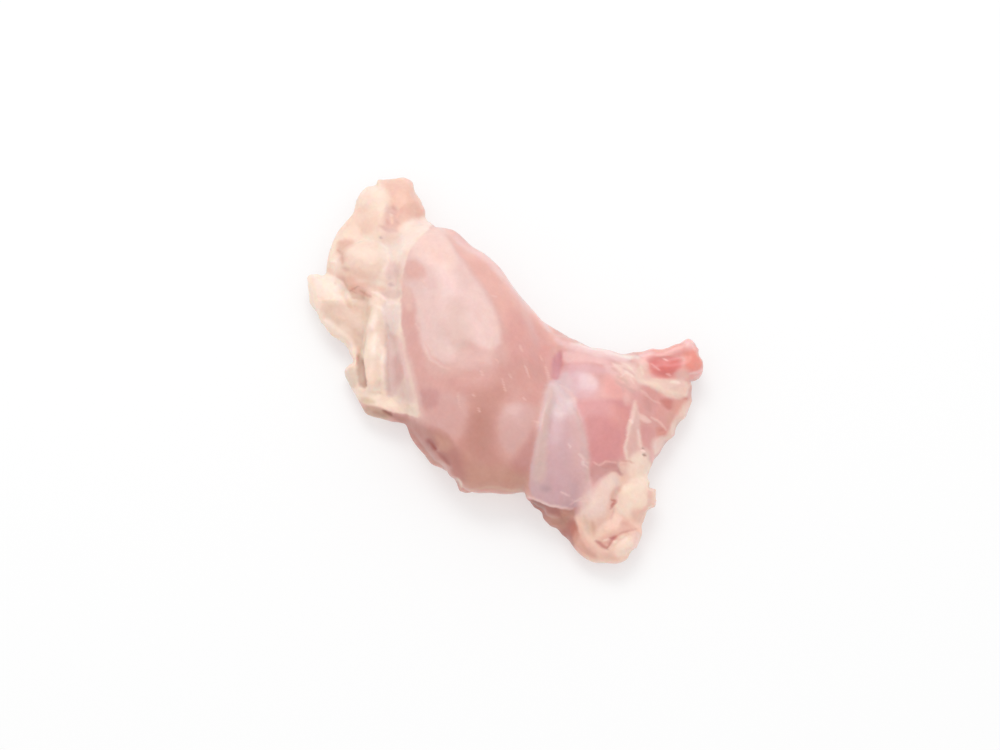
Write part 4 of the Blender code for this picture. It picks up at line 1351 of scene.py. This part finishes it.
mottle, start, end = new_group(
    "mottle",
    [("Colour", "NodeSocketColor", None), ("Place", "NodeSocketVector", None),
     ("Strength", "NodeSocketFloat", 0.1), ("Scale", "NodeSocketFloat", 400.0)],
    [("Colour", "NodeSocketColor")],
)
cloud = noise_at(mottle, start.outputs["Place"], start.outputs["Scale"], 3.0, 0.6)
spread = ramp(mottle, cloud, NOISE_LOW, NOISE_HIGH, -1.0, 1.0)
change = maths(mottle, "MULTIPLY", spread, start.outputs["Strength"])
red_change = maths(mottle, "MULTIPLY", change, RED_SHARE)
tint = add(mottle, "ShaderNodeCombineColor", None,
           Red=maths(mottle, "ADD", 1.0, red_change),
           Green=maths(mottle, "ADD", 1.0, change),
           Blue=maths(mottle, "ADD", 1.0, change)).outputs[0]
tinted = times_colour(mottle, start.outputs["Colour"], tint)
mottle.links.new(tinted, end.inputs["Colour"])
print("group", mottle.name, "with", len(mottle.nodes), "nodes")

# %% grain
FIBRE_TURN = -0.63
FIBRE_STRETCH = (0.08, 1.0, 1.0)

grain, start, end = new_group(
    "grain",
    [("Place", "NodeSocketVector", None), ("Turn", "NodeSocketFloat", FIBRE_TURN),
     ("Scale", "NodeSocketFloat", 900.0)],
    [("Height", "NodeSocketFloat")],
)
turned = add(grain, "ShaderNodeVectorRotate", {"rotation_type": "Z_AXIS"},
             Vector=start.outputs["Place"])
grain.links.new(start.outputs["Turn"], turned.inputs["Angle"])
longer = add(grain, "ShaderNodeMapping", None, Vector=turned.outputs[0], Scale=FIBRE_STRETCH)
threads = noise_at(grain, longer.outputs[0], start.outputs["Scale"], 2.0, 0.6)
grain.links.new(threads, end.inputs["Height"])
print("group", grain.name, "with", len(grain.nodes), "nodes")

# %% pearl
LOBE_ROUNDNESS = 0.8
LOBE_SHARE = 0.5
FINE_SCALE = 1500.0

pearl, start, end = new_group(
    "pearl",
    [("Place", "NodeSocketVector", None), ("Scale", "NodeSocketFloat", 700.0)],
    [("Height", "NodeSocketFloat")],
)
cells = add(pearl, "ShaderNodeTexVoronoi", {"feature": "SMOOTH_F1"},
            Vector=start.outputs["Place"], Scale=start.outputs["Scale"],
            Smoothness=LOBE_ROUNDNESS)
round_top = maths(pearl, "SUBTRACT", 1.0, cells.outputs["Distance"])
fine_noise = noise_at(pearl, start.outputs["Place"], FINE_SCALE, 2.0, 0.6)
lobes = maths(pearl, "MULTIPLY", round_top, LOBE_SHARE)
pearl.links.new(maths(pearl, "ADD", lobes, fine_noise), end.inputs["Height"])
print("group", pearl.name, "with", len(pearl.nodes), "nodes")

# %% [markdown]
# Raw meat lets light in and scatters it, red furthest, which softens every edge. Over that
# lies a thin wet coat. Film is smoothest and glossiest, fat is duller and lumpier.

# %% the material's colour
BROAD_MOTTLE = {"Strength": 0.035, "Scale": 260.0}
FINE_MOTTLE = {"Strength": 0.02, "Scale": 900.0}

raw_meat = bpy.data.materials.new("raw meat")
raw_meat.use_nodes = True
tree = raw_meat.node_tree
shader = tree.nodes["Principled BSDF"]
place = add(tree, "ShaderNodeTexCoord").outputs["Object"]
flesh = add(tree, "ShaderNodeAttribute", {"attribute_name": "flesh"}).outputs["Color"]
tissue = add(tree, "ShaderNodeAttribute", {"attribute_name": "tissue"}).outputs["Color"]
split = add(tree, "ShaderNodeSeparateColor", None, Color=tissue)
fat, film = split.outputs["Red"], split.outputs["Green"]
broad = add(tree, "ShaderNodeGroup", {"node_tree": mottle}, Colour=flesh, Place=place,
            **BROAD_MOTTLE).outputs[0]
fine = add(tree, "ShaderNodeGroup", {"node_tree": mottle}, Colour=broad, Place=place,
           **FINE_MOTTLE).outputs[0]
tree.links.new(fine, shader.inputs["Base Color"])
print("colour from", len(tree.nodes), "nodes")

# %% the material's fibres and lumps
FIBRE_HEIGHT = 0.6
BEAD_HEIGHT = 0.7
BUMP_STRENGTH = 0.6
BUMP_DEPTH = 0.00012

fibres = add(tree, "ShaderNodeGroup", {"node_tree": grain}, Place=place).outputs[0]
beads = add(tree, "ShaderNodeGroup", {"node_tree": pearl}, Place=place).outputs[0]
bare = maths(tree, "SUBTRACT", 1.0, film)
fibre_height = maths(tree, "MULTIPLY", fibres, maths(tree, "MULTIPLY", bare, FIBRE_HEIGHT))
bead_height = maths(tree, "MULTIPLY", beads, maths(tree, "MULTIPLY", fat, BEAD_HEIGHT))
bump = add(tree, "ShaderNodeBump", None, Distance=BUMP_DEPTH, Strength=BUMP_STRENGTH,
           Height=maths(tree, "ADD", fibre_height, bead_height))
tree.links.new(bump.outputs[0], shader.inputs["Normal"])
print("relief", BUMP_DEPTH / MM, "mm deep")

# %% the material's gloss and the light inside it
MUSCLE_ROUGHNESS = 0.40
FAT_ROUGHNESS = 0.50
FILM_SMOOTHER = 0.08
WET_SCALE = 130.0
LEAST_WET = 0.18
MOST_WET = 0.5
WET_ROUGHNESS = 0.22
LIGHT_BEND = 1.4
SCATTER_SHARE = 0.85
SCATTER_RED_GREEN_BLUE = (1.0, 0.42, 0.28)
SCATTER_DEPTH = 0.0011

dull = ramp(tree, fat, 0.0, 1.0, MUSCLE_ROUGHNESS, FAT_ROUGHNESS)
smoother = maths(tree, "MULTIPLY", film, FILM_SMOOTHER)
tree.links.new(maths(tree, "SUBTRACT", dull, smoother), shader.inputs["Roughness"])
wetness = noise_at(tree, place, WET_SCALE, 2.0, 0.5)
coat = ramp(tree, wetness, NOISE_LOW, NOISE_HIGH, LEAST_WET, MOST_WET)
tree.links.new(coat, shader.inputs["Coat Weight"])
shader.inputs["Coat Roughness"].default_value = WET_ROUGHNESS
shader.inputs["IOR"].default_value = LIGHT_BEND
shader.inputs["Subsurface Weight"].default_value = SCATTER_SHARE
shader.inputs["Subsurface Radius"].default_value = SCATTER_RED_GREEN_BLUE
shader.inputs["Subsurface Scale"].default_value = SCATTER_DEPTH
thigh.data.materials.append(raw_meat)
print("material", raw_meat.name, "with", len(tree.nodes), "nodes")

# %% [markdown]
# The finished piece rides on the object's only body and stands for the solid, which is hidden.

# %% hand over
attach(thigh, "root")
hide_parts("thigh")
